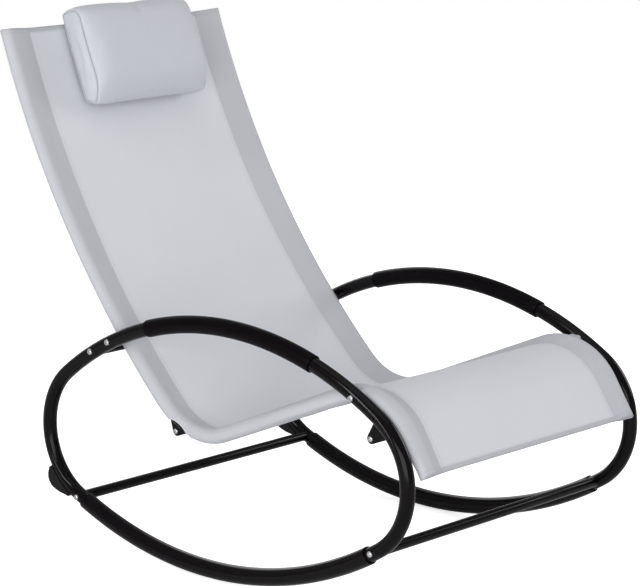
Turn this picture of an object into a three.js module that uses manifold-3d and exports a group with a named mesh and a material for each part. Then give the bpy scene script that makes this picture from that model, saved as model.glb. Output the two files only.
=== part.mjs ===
// Rocking chaise lounge: two oval tube loops that roll on the floor, joined by cross bars,
// with a fabric sling stretched between two bent rails and a padded headrest on the sling.
// Units are millimetres. +X is the way the sitter faces, +Y the sitter's left, +Z is up.

import * as THREE from 'three';
import { mergeVertices } from 'three/addons/utils/BufferGeometryUtils.js';
import Module from 'manifold-3d';

const wasm = await Module();
wasm.setup();

// Side loops: each is an oval of four tangent arcs, measured on the tube's centre line. It stands
// outboard of its rail, and the centre of its front end lies behind the centre of the knee bend.
const loopOutboard = 35.5;
const kneeAhead = 9.54;
const loopEndRadius = 128;
const rockerRadius = 760;
const armRadius = 648;
const tubeDiameter = 25;
const tubeWall = 1.5;
const restPitch = 3.4;

// Rocker tubes: the larger tubes that take in the loops' open ends and meet the floor. Each ends
// short of where the rocker's arc does.
const rockerDiameter = 30.5;
const rockerShortAngle = 1.58;
const footFlatAngle = 2.2;
const loopTailAngle = 6.6;

// Arm grips: moulded sleeves on top of the loops.
const gripDiameter = 30.5;
const gripRearAngle = 13.6;
const gripFrontAngle = 21;

// Stop pads behind the rockers, which end the backward rock.
const padWidth = 25;
const padGapAngle = 5.3;
const padSpanAngle = 27;
const padRise = 19;
const padCradle = 5;
const padRiseShares = [
  [0, 0.06], [0.11, 0.2], [0.33, 0.61], [0.59, 1], [0.78, 0.91], [0.93, 0.5], [1, 0.06],
];

// Seat rails: back arc, hip bend, seat run, knee bend and front drop, on the centre line.
const railSpacing = 514;
const railDiameter = 22;
const railWall = 1;
const hipAhead = -57.6;
const hipAbove = 153;
const hipRadius = 131;
const backRadius = 1590;
const backLength = 738;
const backSlope = 46.9;
const seatSlope = 19.5;
const seatLength = 299;
const kneeRadius = 117;
const frontSlope = 60.9;
const frontLength = 64;

// Sling: the sheet, and the doubled sleeves sewn along its sides that hold the rails.
const clothThickness = 1.2;
const sleeveWidth = 58;
const sleevePlay = 0.35;
const seamWidth = 3;
const hemOverhang = 8;
const notchRadius = 44;
const notchReach = 39.5;
const notchInboard = 13;
const slotPlayAngle = 1;

// Cross bars and spreader bars, with a threaded plate across each end for its bolt.
const barDiameter = 18;
const barWall = 1.5;
const barPlate = 4;
const lowBoltShortAngle = 0.58;
const backBarAngle = 26.8;

// Lugs and gussets under the rails, which carry the spreader bars.
const plateThickness = 4;
const bossRadius = 9;
const lugAngle = 29.6;
const lugReach = 21.7;
const lugHalfAngle = 12.5;
const gussetAngle = 19;
const gussetReach = 73.9;
const gussetStartAngle = 22.8;
const gussetEndAngle = 57.6;
const gussetHoleAngle = 39.3;
const gussetHoleReach = 57.2;
const gussetHoleDiameter = 5.2;

// Bolts, spacers and caps.
const boltDiameter = 6;
const headDiameter = 10.4;
const headHeight = 3.6;
const headRim = 1.4;
const socketDiameter = 4.6;
const socketDepth = 2;
const boltGrip = 7;
const boltPlay = 0.35;
const spacerDiameter = 15;
const capLength = 12;
const capFlange = 3;

// Headrest pillow, and the two strips that hold it to the sling.
const pillowWidth = 292;
const pillowHeight = 181;
const pillowSide = 50;
const pillowCrown = 22;
const pillowWall = 4;
const pillowTop = -18;
const zipWidth = 220;
const zipGap = 6;
const pillowEdgeShares = [[0.955, 0], [0.99, 0.12], [1, 0.42], [0.995, 0.82], [0.97, 1]];
const pillowSquareness = 8;
const stripWidth = 200;
const stripThickness = 1.2;
const hookTop = 12;
const hookHeight = 60;
const loopStripTop = 10;
const loopStripHeight = 142;

// Gap between pieces that rest on each other, and the overrun of a cutter past what it cuts.
const seatGap = 0.3;
const overrun = 3;

// Facets: sides of round pieces, the angle of each step along an arc, and the distance below
// which two stations of a path are one.
const tubeSides = 12;
const boltSides = 8;
const arcStepAngle = 13;
const railStepAngle = 13.4;
const backStepAngle = 2.7;
const armStepAngle = 4.4;
const rockerStepAngle = 2.2;
const plateSteps = 5;
const archSides = 16;
const pillowSides = 28;
const crownSteps = 4;
const sameStation = 0.01;

const radians = THREE.MathUtils.degToRad;

// A path in the XZ plane made of arcs and lines, kept as stations with the heading at each.
// The section's first axis lies to the right of travel, seen from +Y, and its second along +Y.
class BentPath extends THREE.Curve {
  constructor() {
    super();
    this.stations = [];
  }

  add(x, z, tangentX, tangentZ) {
    const last = this.stations[this.stations.length - 1];
    const place = new THREE.Vector3(x, 0, z);
    if (last && last.place.distanceTo(place) < sameStation) return;
    this.stations.push({ place, tangent: new THREE.Vector3(tangentX, 0, tangentZ).normalize() });
  }

  // An arc about a centre, between two angles from straight down, positive towards +X.
  arc(centre, radius, from, to, steps) {
    const sense = Math.sign(to - from);
    for (let i = 0; i <= steps; i += 1) {
      const angle = radians(from + (to - from) * i / steps);
      this.add(centre.x + radius * Math.sin(angle), centre.z - radius * Math.cos(angle),
        sense * Math.cos(angle), sense * Math.sin(angle));
    }
    return this;
  }

  // A straight run on from the last station.
  line(length) {
    const { place, tangent } = this.stations[this.stations.length - 1];
    this.add(place.x + length * tangent.x, place.z + length * tangent.z, tangent.x, tangent.z);
    return this;
  }

  get steps() {
    return this.stations.length - 1;
  }

  station(u) {
    return this.stations[Math.round(u * this.steps)];
  }

  getPoint(t) {
    return this.station(t).place.clone();
  }

  getPointAt(u) {
    return this.station(u).place.clone();
  }

  getTangentAt(u) {
    return this.station(u).tangent.clone();
  }

  computeFrenetFrames() {
    const across = new THREE.Vector3(0, 1, 0);
    return {
      tangents: this.stations.map((s) => s.tangent.clone()),
      normals: this.stations.map((s) => new THREE.Vector3().crossVectors(across, s.tangent)),
      binormals: this.stations.map(() => across.clone()),
    };
  }
}

// Merges a geometry's shared vertices, drops empty triangles and turns the faces outwards.
function closed(geometry) {
  const bare = geometry.clone();
  bare.deleteAttribute('normal');
  bare.deleteAttribute('uv');
  const merged = mergeVertices(bare, 1e-4);
  const point = merged.attributes.position;
  const source = merged.index.array;
  const kept = [];
  let volume = 0;
  const [a, b, c] = [new THREE.Vector3(), new THREE.Vector3(), new THREE.Vector3()];
  for (let i = 0; i < source.length; i += 3) {
    const [p, q, r] = [source[i], source[i + 1], source[i + 2]];
    if (p === q || q === r || r === p) continue;
    kept.push(p, q, r);
    a.fromBufferAttribute(point, p);
    b.fromBufferAttribute(point, q);
    c.fromBufferAttribute(point, r);
    volume += a.dot(b.cross(c));
  }
  if (volume < 0) kept.reverse();
  merged.setIndex(kept);
  return merged;
}

function toSolid(geometry) {
  const shell = closed(geometry);
  return new wasm.Manifold(new wasm.Mesh({
    numProp: 3,
    vertProperties: new Float32Array(shell.attributes.position.array),
    triVerts: new Uint32Array(shell.index.array),
  }));
}

function toGeometry(solid) {
  const mesh = solid.getMesh();
  const geometry = new THREE.BufferGeometry();
  geometry.setAttribute('position', new THREE.BufferAttribute(new Float32Array(mesh.vertProperties), 3));
  geometry.setIndex(new THREE.BufferAttribute(new Uint32Array(mesh.triVerts), 1));
  return geometry;
}

function cut(geometry, cutters) {
  let solid = toSolid(geometry);
  for (const cutter of cutters) solid = solid.subtract(toSolid(cutter));
  return toGeometry(solid);
}

// Corner points of a regular polygon with flats facing the axes and a given radius to its flats.
function polygon(flatRadius, sides) {
  const corner = flatRadius / Math.cos(Math.PI / sides);
  return Array.from({ length: sides }, (_, i) => {
    const angle = (i + 0.5) * 2 * Math.PI / sides;
    return new THREE.Vector2(corner * Math.cos(angle), corner * Math.sin(angle));
  });
}

// A tube's section, or a rod's where the bore is zero.
function ringShape(outerRadius, boreRadius) {
  const shape = new THREE.Shape(polygon(outerRadius, tubeSides));
  if (boreRadius > 0) shape.holes.push(new THREE.Path(polygon(boreRadius, tubeSides)));
  return shape;
}

function sweep(shape, path) {
  return closed(new THREE.ExtrudeGeometry(shape, { steps: path.steps, extrudePath: path }));
}

// A solid of revolution about +Y from an outline of [radius, height] pairs. An outline that
// keeps clear of the axis closes on itself, as a ring does.
function turned(outline, sides) {
  const points = outline.map(([radius, height]) => new THREE.Vector2(radius, height));
  if (points[0].x > 0) points.push(points[0].clone());
  return closed(new THREE.LatheGeometry(points, sides));
}

// A round cutter along Y through a point of the side view, between two places across.
function drill(point, radius, fromY, toY, sides = boltSides) {
  const corner = radius / Math.cos(Math.PI / sides);
  const geometry = new THREE.CylinderGeometry(corner, corner, Math.abs(toY - fromY), sides);
  geometry.translate(point.x, (fromY + toY) / 2, point.z);
  return geometry;
}

// A flat plate standing across Y about its middle, from an outline in the side view.
function plate(outline, thickness) {
  const shape = new THREE.Shape(outline.map((p) => new THREE.Vector2(p.x, p.z)));
  const geometry = new THREE.ExtrudeGeometry(shape, { depth: thickness, bevelEnabled: false });
  geometry.rotateX(Math.PI / 2);
  geometry.translate(0, thickness / 2, 0);
  return closed(geometry);
}

// A point of the side view, at an angle from straight down and a radius about a centre.
function polar(centre, radius, angle) {
  const turn = radians(angle);
  return new THREE.Vector3(centre.x + radius * Math.sin(turn), 0, centre.z - radius * Math.cos(turn));
}

// Points of the side view along an arc about a centre, both ends included.
function arcPoints(centre, radius, from, to, count) {
  return Array.from({ length: count + 1 }, (_, i) => polar(centre, radius, from + (to - from) * i / count));
}

const stepsFor = (angle, step) => Math.max(1, Math.round(Math.abs(angle) / step));

// Side view of a seat rail: the centres of its bends and the angle of its top end.
const hipCentre = new THREE.Vector3(hipAhead, 0, hipAbove);
const backCentre = polar(hipCentre, hipRadius - backRadius, -backSlope);
const backAngle = THREE.MathUtils.radToDeg(backLength / backRadius);
const topAngle = -backSlope - backAngle;
const backSteps = stepsFor(backAngle, backStepAngle);
const seatFront = polar(polar(hipCentre, hipRadius, seatSlope), seatLength, seatSlope + 90);
const kneeCentre = polar(seatFront, kneeRadius, seatSlope);

// Side view of a loop: the centres of its four arcs and the angles where they meet.
const halfEnds = kneeCentre.x - kneeAhead;
const rearEnd = new THREE.Vector3(-halfEnds, 0, 0);
const frontEnd = new THREE.Vector3(halfEnds, 0, 0);
const rockerCentre = new THREE.Vector3(0, 0, Math.sqrt((rockerRadius - loopEndRadius) ** 2 - halfEnds ** 2));
const armCentre = new THREE.Vector3(0, 0, -Math.sqrt((armRadius - loopEndRadius) ** 2 - halfEnds ** 2));
const rockerJoin = THREE.MathUtils.radToDeg(Math.asin(halfEnds / (rockerRadius - loopEndRadius)));
const armJoin = THREE.MathUtils.radToDeg(Math.asin(halfEnds / (armRadius - loopEndRadius)));
const rockerHalfAngle = rockerJoin - rockerShortAngle;
const lowBoltAngle = rockerJoin - lowBoltShortAngle;
const padStartAngle = rockerJoin + padGapAngle;
const padEndAngle = padStartAngle + padSpanAngle;
const gripSteps = stepsFor(gripRearAngle + gripFrontAngle, armStepAngle);

// The loop's tube starts inside the rocker's rear end, goes up round the back, forward along
// the arm, down round the front and ends inside the rocker's front end.
function loopPath() {
  const tail = rockerHalfAngle - loopTailAngle;
  const tailSteps = stepsFor(loopTailAngle, rockerStepAngle);
  const endSteps = stepsFor(180 - rockerJoin - armJoin, arcStepAngle);
  const armRearSteps = stepsFor(armJoin - gripRearAngle, armStepAngle);
  const armFrontSteps = stepsFor(armJoin - gripFrontAngle, armStepAngle);
  return new BentPath()
    .arc(rockerCentre, rockerRadius, -tail, -rockerHalfAngle, tailSteps)
    .arc(rockerCentre, rockerRadius, -rockerHalfAngle, -rockerJoin, 1)
    .arc(rearEnd, loopEndRadius, -rockerJoin, armJoin - 180, endSteps)
    .arc(armCentre, armRadius, armJoin - 180, gripRearAngle - 180, armRearSteps)
    .arc(armCentre, armRadius, gripRearAngle - 180, -gripFrontAngle - 180, gripSteps)
    .arc(armCentre, armRadius, -gripFrontAngle - 180, -armJoin - 180, armFrontSteps)
    .arc(frontEnd, loopEndRadius, 180 - armJoin, rockerJoin, endSteps)
    .arc(rockerCentre, rockerRadius, rockerJoin, rockerHalfAngle, 1)
    .arc(rockerCentre, rockerRadius, rockerHalfAngle, tail, tailSteps);
}

// A rocker has a level facet under the chair's balance point, where it stands at rest.
function rockerPath() {
  const flatRear = -restPitch - footFlatAngle / 2;
  const flatFront = -restPitch + footFlatAngle / 2;
  const rearSteps = stepsFor(rockerHalfAngle + flatRear, rockerStepAngle);
  const frontSteps = stepsFor(rockerHalfAngle - flatFront, rockerStepAngle);
  return new BentPath()
    .arc(rockerCentre, rockerRadius, -rockerHalfAngle, flatRear, rearSteps)
    .arc(rockerCentre, rockerRadius, flatRear, flatFront, 1)
    .arc(rockerCentre, rockerRadius, flatFront, rockerHalfAngle, frontSteps);
}

function gripPath() {
  return new BentPath().arc(armCentre, armRadius, gripRearAngle - 180, -gripFrontAngle - 180, gripSteps);
}

// A rail from its top end to its front end, with a straight overhang added to both.
function railPath(overhang) {
  const top = polar(polar(backCentre, backRadius, topAngle), -overhang, topAngle + 90);
  const path = new BentPath();
  path.add(top.x, top.z, Math.cos(radians(topAngle)), Math.sin(radians(topAngle)));
  const hipSteps = stepsFor(backSlope + seatSlope, railStepAngle);
  const kneeSteps = stepsFor(seatSlope + frontSlope, railStepAngle);
  return path
    .arc(backCentre, backRadius, topAngle, -backSlope, backSteps)
    .arc(hipCentre, hipRadius, -backSlope, seatSlope, hipSteps)
    .line(seatLength)
    .arc(kneeCentre, kneeRadius, seatSlope + 180, 180 - frontSlope, kneeSteps)
    .line(frontLength)
    .line(overhang);
}

// The turn from one direction of the side view to another, positive from +X towards +Z.
const turnOf = (p, q) => p.x * q.z - p.z * q.x;

// Places where two paths cross in the side view, in the order of the first path.
function crossings(first, second) {
  const runs = (path) => path.stations.slice(1).map((station, i) => [path.stations[i].place, station.place]);
  const found = [];
  for (const [a, b] of runs(first)) {
    for (const [c, d] of runs(second)) {
      const along = b.clone().sub(a);
      const beside = d.clone().sub(c);
      const offset = c.clone().sub(a);
      const t = turnOf(offset, beside) / turnOf(along, beside);
      const u = turnOf(offset, along) / turnOf(along, beside);
      if (t >= 0 && t < 1 && u >= 0 && u < 1) found.push(a.clone().addScaledVector(along, t));
    }
  }
  return found;
}

// Radii and places across that several pieces share.
const tubeRadius = tubeDiameter / 2;
const railRadius = railDiameter / 2;
const railY = railSpacing / 2;
const loopY = railY + loopOutboard;
const sleeveRadius = railRadius + sleevePlay;
const boltHole = boltDiameter / 2 + boltPlay;

// What a piece must keep clear of to rest on a loop or on a rail.
const loopEnvelope = sweep(ringShape(tubeRadius + seatGap, 0), loopPath());
const railEnvelope = sweep(ringShape(railRadius + seatGap, 0), railPath(0));
const across = (geometry, y) => geometry.clone().translate(0, y, 0);

// Where bolts pass through the loops: low ends of the cross bars, back bar, and rail crossings.
const rearLow = polar(rockerCentre, rockerRadius, -lowBoltAngle);
const frontLow = polar(rockerCentre, rockerRadius, lowBoltAngle);
const backBar = polar(armCentre, armRadius, backBarAngle - 180);
const [railRear, railFront] = crossings(railPath(0), loopPath());

// Where the spreader bars are bolted below the rails.
const bendBolt = polar(hipCentre, hipRadius + lugReach, -lugAngle);
const frontBolt = polar(kneeCentre, kneeRadius - gussetReach, 180 - gussetAngle);

function loopTube() {
  const tube = sweep(ringShape(tubeRadius, tubeRadius - tubeWall), loopPath());
  const reach = tubeRadius + overrun;
  const holes = [rearLow, frontLow, backBar, railRear, railFront];
  return cut(tube, holes.map((place) => drill(place, boltHole, -reach, reach)));
}

function rockerTube() {
  return sweep(ringShape(rockerDiameter / 2, tubeRadius + sleevePlay), rockerPath());
}

function armGrip() {
  return sweep(ringShape(gripDiameter / 2, tubeRadius + sleevePlay), gripPath());
}

// The outer side of a stop pad swells to its rise; its inner side cradles the tube.
function stopPad() {
  const tubeSurface = loopEndRadius + tubeRadius;
  const outer = padRiseShares.map(([along, rise]) => (
    polar(rearEnd, tubeSurface + padRise * rise, -padStartAngle - padSpanAngle * along)));
  const inner = arcPoints(rearEnd, tubeSurface - padCradle, -padEndAngle, -padStartAngle, plateSteps);
  return cut(plate([...outer, ...inner], padWidth), [loopEnvelope]);
}

// A rail, with bolt holes in the wall that faces its loop.
function seatRail(side) {
  const tube = sweep(ringShape(railRadius, railRadius - railWall), railPath(0));
  const reach = side * (railRadius + overrun);
  return cut(tube, [railRear, railFront].map((place) => drill(place, boltHole, 0, reach)));
}

// An outline that runs along a base and round a boss, with straight sides tangent to the boss.
function bossOutline(base, boss) {
  const [first, last] = [base[0], base[base.length - 1]];
  const sense = Math.sign(turnOf(last.clone().sub(first), boss.clone().sub(first)));
  const touching = (corner, way) => {
    const bearing = Math.atan2(corner.x - boss.x, boss.z - corner.z);
    const opening = Math.acos(bossRadius / corner.distanceTo(boss));
    return THREE.MathUtils.radToDeg(bearing + way * opening);
  };
  const from = touching(last, sense);
  let to = touching(first, -sense);
  while (sense * (to - from) < 0) to += sense * 360;
  return [...base, ...arcPoints(boss, bossRadius, from, to, 2 * plateSteps)];
}

function bendLug() {
  const seat = hipRadius + railRadius / 2;
  const base = arcPoints(hipCentre, seat, -lugAngle - lugHalfAngle, -lugAngle + lugHalfAngle, 2);
  const blank = plate(bossOutline(base, bendBolt), plateThickness);
  return cut(blank, [railEnvelope, drill(bendBolt, boltHole, -plateThickness, plateThickness)]);
}

function frontGusset() {
  const seat = kneeRadius - railRadius / 2;
  const base = arcPoints(kneeCentre, seat, 180 - gussetStartAngle, 180 - gussetEndAngle, plateSteps);
  const blank = plate(bossOutline(base, frontBolt), plateThickness);
  const spareHole = polar(kneeCentre, kneeRadius - gussetHoleReach, 180 - gussetHoleAngle);
  return cut(blank, [
    railEnvelope,
    drill(frontBolt, boltHole, -plateThickness, plateThickness),
    drill(spareHole, gussetHoleDiameter / 2, -plateThickness, plateThickness),
  ]);
}

// A bar along Y with a threaded plate across each end. Its wall can run past the plates.
function bar(plateFace, wallEnd) {
  const outer = barDiameter / 2;
  const inner = outer - barWall;
  const thread = boltHole;
  const back = plateFace - barPlate;
  const end = (sign) => {
    const points = [[inner, back], [thread, back], [thread, plateFace]];
    if (wallEnd > plateFace) points.push([inner, plateFace], [inner, wallEnd]);
    return points.map(([radius, height]) => [radius, sign * height]);
  };
  return turned([
    ...end(1), [outer, wallEnd],
    [outer, -wallEnd], ...end(-1).reverse(),
  ], tubeSides);
}

// A bar between the loops, with its ends coped to sit round the tubes.
function crossBar(place) {
  const plateFace = loopY - tubeRadius - seatGap;
  const blank = bar(plateFace, loopY - barDiameter / 2);
  blank.translate(place.x, 0, place.z);
  const coped = cut(blank, [across(loopEnvelope, loopY), across(loopEnvelope, -loopY)]);
  return coped.translate(-place.x, 0, -place.z);
}

function spreaderBar() {
  const end = railY - plateThickness / 2 - seatGap;
  return bar(end, end);
}

// A spacer between a rail and its loop, hollowed at both ends to fit the tubes.
function spacer(place, side) {
  const outer = spacerDiameter / 2;
  const [inboard, outboard] = [railY + railRadius / 2, loopY - tubeRadius / 2];
  const outline = [[boltHole, inboard], [outer, inboard], [outer, outboard], [boltHole, outboard]];
  const blank = turned(outline, tubeSides);
  if (side < 0) blank.rotateX(Math.PI);
  blank.translate(place.x, 0, place.z);
  const shaped = cut(blank, [across(loopEnvelope, side * loopY), across(railEnvelope, side * railY)]);
  return shaped.translate(-place.x, 0, -place.z);
}

// A domed bolt along Y, with its head above zero and its socket in the top of the head.
function bolt(length) {
  const shank = boltDiameter / 2;
  const head = headDiameter / 2;
  const socket = socketDiameter / 2;
  return turned([
    [0, -length], [shank, -length], [shank, 0], [head, 0], [head, headRim],
    [(head + socket) / 2, headHeight - socketDepth / 4], [socket, headHeight],
    [socket, headHeight - socketDepth], [0, headHeight - socketDepth],
  ], boltSides);
}

// A plug for a rail's open end, along Y, with its flange above zero.
function railCap() {
  const plug = railRadius - railWall - seatGap;
  return turned([
    [0, -capLength], [plug, -capLength], [plug, 0], [railRadius, 0], [railRadius, capFlange], [0, capFlange],
  ], tubeSides);
}

// The sling's section, right to left: a sheet between two sleeves that close round the rails.
function slingShape() {
  const sheet = clothThickness / 2;
  const outerRadius = sleeveRadius + clothThickness;
  const seamY = railY + outerRadius - sleeveWidth;
  const sleeve = (radius, side) => polygon(radius, tubeSides)
    .filter((corner) => corner.y > -radius / 2)
    .map((corner) => new THREE.Vector2(corner.x, side * (railY + corner.y)))
    .sort((p, q) => Math.atan2(q.x, side * q.y - railY) - Math.atan2(p.x, side * p.y - railY));
  const left = sleeve(outerRadius, 1);
  const right = sleeve(outerRadius, -1);
  const shape = new THREE.Shape([
    new THREE.Vector2(sheet, seamY), ...left, new THREE.Vector2(-sheet, seamY),
    new THREE.Vector2(-sheet, -seamY), ...right.reverse(), new THREE.Vector2(sheet, -seamY),
  ]);
  for (const side of [1, -1]) {
    const apex = new THREE.Vector2(0, side * (seamY + seamWidth));
    shape.holes.push(new THREE.Path([apex, ...sleeve(sleeveRadius, side)]));
  }
  return shape;
}

// The sling, with arched notches at the bend lugs, slots for the gussets and holes for spacers.
function sling() {
  const sheet = sweep(slingShape(), railPath(hemOverhang));
  const outside = railY + sleeveRadius + clothThickness + overrun;
  const notchCentre = polar(hipCentre, hipRadius + notchReach, -lugAngle);
  const slotStart = 180 - gussetStartAngle + slotPlayAngle;
  const slotEnd = 180 - gussetEndAngle - slotPlayAngle;
  const slot = plate([
    ...arcPoints(kneeCentre, kneeRadius - 2 * railRadius, slotStart, slotEnd, plateSteps),
    ...arcPoints(kneeCentre, kneeRadius - railRadius / 2, slotEnd, slotStart, plateSteps),
  ], plateThickness + 2 * seatGap);
  const cutters = [1, -1].flatMap((side) => [
    drill(notchCentre, notchRadius, side * (railY - notchInboard), side * outside, archSides),
    drill(railRear, spacerDiameter / 2 + seatGap, side * railY, side * outside),
    drill(railFront, spacerDiameter / 2 + seatGap, side * railY, side * outside),
    across(slot, side * railY),
  ]);
  return cut(sheet, cutters);
}

// A place on the headrest, at a distance down the back from the sling's top edge and a height
// above the middle of the cloth.
const edgeAngle = topAngle - THREE.MathUtils.radToDeg(hemOverhang / backRadius);
const onBack = (down, height) => (
  polar(backCentre, backRadius - height, edgeAngle + THREE.MathUtils.radToDeg(down / backRadius)));

// Heights of the headrest's layers above the middle of the cloth, from the facets' bulge out.
const backBulge = backRadius * (1 - Math.cos(radians(backAngle / backSteps / 2)));
const loopStripBase = clothThickness / 2 + backBulge + seatGap;
const hookBase = loopStripBase + stripThickness + seatGap;
const pillowBase = hookBase + stripThickness + seatGap;

// A strip of fastener tape that follows the back.
function strip(top, height, base) {
  const downs = Array.from({ length: plateSteps + 1 }, (_, i) => top + height * i / plateSteps);
  const row = (level) => downs.map((down) => onBack(down, level));
  return plate([...row(base), ...row(base + stripThickness).reverse()], stripWidth);
}

// A closed pillow surface, inset by a wall: flat at the back, drawn in at both seams, crowned.
function pillowSurface(inset) {
  const halfWidth = pillowWidth / 2 - inset;
  const halfHeight = pillowHeight / 2 - inset;
  const middle = pillowTop + pillowHeight / 2;
  const sideHeight = pillowSide - 2 * inset;
  const rimShare = pillowEdgeShares[pillowEdgeShares.length - 1][0];
  const rings = pillowEdgeShares.map(([reach, rise]) => [reach, rise * sideHeight]);
  for (let i = 1; i < crownSteps; i += 1) {
    const reach = rimShare * (1 - i / crownSteps);
    rings.push([reach, sideHeight + pillowCrown * (1 - (reach / rimShare) ** 2)]);
  }
  const rounded = (value) => Math.sign(value) * Math.abs(value) ** (2 / pillowSquareness);
  const positions = [];
  const put = (down, y, height) => {
    const place = onBack(middle + down, pillowBase + inset + height);
    positions.push(place.x, y, place.z);
  };
  put(0, 0, 0);
  for (const [reach, height] of rings) {
    for (let j = 0; j < pillowSides; j += 1) {
      const turn = (j + 0.5) * 2 * Math.PI / pillowSides;
      put(reach * halfHeight * rounded(Math.sin(turn)), reach * halfWidth * rounded(Math.cos(turn)), height);
    }
  }
  put(0, 0, sideHeight + pillowCrown);
  const index = [];
  const last = rings.length * pillowSides + 1;
  for (let j = 0; j < pillowSides; j += 1) {
    const next = (j + 1) % pillowSides;
    index.push(0, 1 + next, 1 + j);
    for (let k = 0; k + 1 < rings.length; k += 1) {
      const [low, high] = [1 + k * pillowSides, 1 + (k + 1) * pillowSides];
      index.push(low + j, low + next, high + next, low + j, high + next, high + j);
    }
    index.push(last, last - pillowSides + j, last - pillowSides + next);
  }
  const geometry = new THREE.BufferGeometry();
  geometry.setAttribute('position', new THREE.Float32BufferAttribute(positions, 3));
  geometry.setIndex(index);
  return geometry;
}

// The pillow is a padded shell, open along the zip in its lower side.
function pillow() {
  const bottom = pillowTop + pillowHeight;
  const low = pillowBase + (pillowSide - zipGap) / 2;
  const high = low + zipGap;
  const zip = plate([
    onBack(bottom - 2 * pillowWall, low), onBack(bottom + overrun, low),
    onBack(bottom + overrun, high), onBack(bottom - 2 * pillowWall, high),
  ], zipWidth);
  return cut(pillowSurface(0), [pillowSurface(pillowWall), zip]);
}

function material(color, roughness, metalness) {
  return () => new THREE.MeshStandardMaterial({ color, roughness, metalness });
}

const blackPaint = material(0x141214, 0.35, 0.3);
const zinc = material(0xb9bcc0, 0.3, 1);
const blackPlastic = material(0x161618, 0.55, 0);
const blackRubber = material(0x121212, 0.8, 0);
const slingCloth = material(0xcdd0d4, 0.9, 0);
const pillowCloth = material(0xc2c5ca, 0.95, 0);
const tape = material(0x9a9da2, 1, 0);

const chair = new THREE.Group();

function add(name, geometry, finish, x = 0, y = 0, z = 0) {
  const mesh = new THREE.Mesh(geometry, finish());
  mesh.name = name;
  mesh.position.set(x, y, z);
  chair.add(mesh);
  return mesh;
}

// Bolts go in from outside: from +Y on the left, turned over on the right.
function addBolt(name, place, seatY, side, length) {
  const mesh = add(name, bolt(length), zinc, place.x, side * (seatY + seatGap), place.z);
  if (side < 0) mesh.rotation.x = Math.PI;
}

const throughLoop = 2 * tubeRadius + 2 * seatGap;
const toBar = throughLoop + boltGrip;
const toRail = loopY + tubeRadius - railY - railRadius + railWall + boltGrip;
const toSpreader = plateThickness + 2 * seatGap + boltGrip;
const railEnds = [['top', railPath(0).stations[0], -1], ['front', railPath(0).stations.at(-1), 1]];

for (const [hand, side] of [['left', 1], ['right', -1]]) {
  add(`${hand}_loop_tube`, loopTube(), blackPaint, 0, side * loopY);
  add(`${hand}_rocker_tube`, rockerTube(), blackPaint, 0, side * loopY);
  add(`${hand}_arm_grip`, armGrip(), blackPlastic, 0, side * loopY);
  add(`${hand}_stop_pad`, stopPad(), blackRubber, 0, side * loopY);
  add(`${hand}_seat_rail`, seatRail(side), blackPaint, 0, side * railY);
  add(`${hand}_bend_lug`, bendLug(), blackPaint, 0, side * railY);
  add(`${hand}_front_gusset`, frontGusset(), blackPaint, 0, side * railY);
  add(`${hand}_rear_spacer`, spacer(railRear, side), blackPlastic, railRear.x, 0, railRear.z);
  add(`${hand}_front_spacer`, spacer(railFront, side), blackPlastic, railFront.x, 0, railFront.z);
  for (const [end, { place, tangent }, sense] of railEnds) {
    const outward = tangent.clone().multiplyScalar(sense);
    const seat = place.clone().addScaledVector(outward, seatGap);
    const cap = add(`${hand}_${end}_rail_cap`, railCap(), blackPlastic, seat.x, side * railY, seat.z);
    cap.quaternion.setFromUnitVectors(new THREE.Vector3(0, 1, 0), outward);
  }
  addBolt(`${hand}_rear_low_bolt`, rearLow, loopY + tubeRadius, side, toBar);
  addBolt(`${hand}_front_low_bolt`, frontLow, loopY + tubeRadius, side, toBar);
  addBolt(`${hand}_back_bar_bolt`, backBar, loopY + tubeRadius, side, toBar);
  addBolt(`${hand}_rear_rail_bolt`, railRear, loopY + tubeRadius, side, toRail);
  addBolt(`${hand}_front_rail_bolt`, railFront, loopY + tubeRadius, side, toRail);
  addBolt(`${hand}_bend_lug_bolt`, bendBolt, railY + plateThickness / 2, side, toSpreader);
  addBolt(`${hand}_front_gusset_bolt`, frontBolt, railY + plateThickness / 2, side, toSpreader);
}

add('rear_low_bar', crossBar(rearLow), blackPaint, rearLow.x, 0, rearLow.z);
add('front_low_bar', crossBar(frontLow), blackPaint, frontLow.x, 0, frontLow.z);
add('back_bar', crossBar(backBar), blackPaint, backBar.x, 0, backBar.z);
add('bend_spreader_bar', spreaderBar(), blackPaint, bendBolt.x, 0, bendBolt.z);
add('front_spreader_bar', spreaderBar(), blackPaint, frontBolt.x, 0, frontBolt.z);
add('sling', sling(), slingCloth);
add('sling_loop_strip', strip(loopStripTop, loopStripHeight, loopStripBase), tape);
add('headrest_hook_strip', strip(hookTop, hookHeight, hookBase), tape);
add('headrest_pillow', pillow(), pillowCloth);

// The chair stands nose-up at rest, with its box centred over the origin and its foot at zero.
chair.rotation.y = -radians(restPitch);
const part = new THREE.Group();
part.add(chair);
const box = new THREE.Box3().setFromObject(part, true);
const centre = box.getCenter(new THREE.Vector3());
chair.position.set(-centre.x, -centre.y, -box.min.z);

export default part;
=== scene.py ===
"""Rocking chaise lounge: a painted tube frame, a sewn sling and a padded headrest.

Every piece is made in the chair's own side view, x ahead and z up about the middle of a side
loop, and is then pitched and lifted onto the floor. All lengths are in metres.
"""

import logging
import math
from dataclasses import dataclass, field
from enum import Enum
from typing import Iterable, Optional, Sequence, Union

import bpy
import numpy as np
from mathutils import Euler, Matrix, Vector
from mathutils.bvhtree import BVHTree


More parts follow.
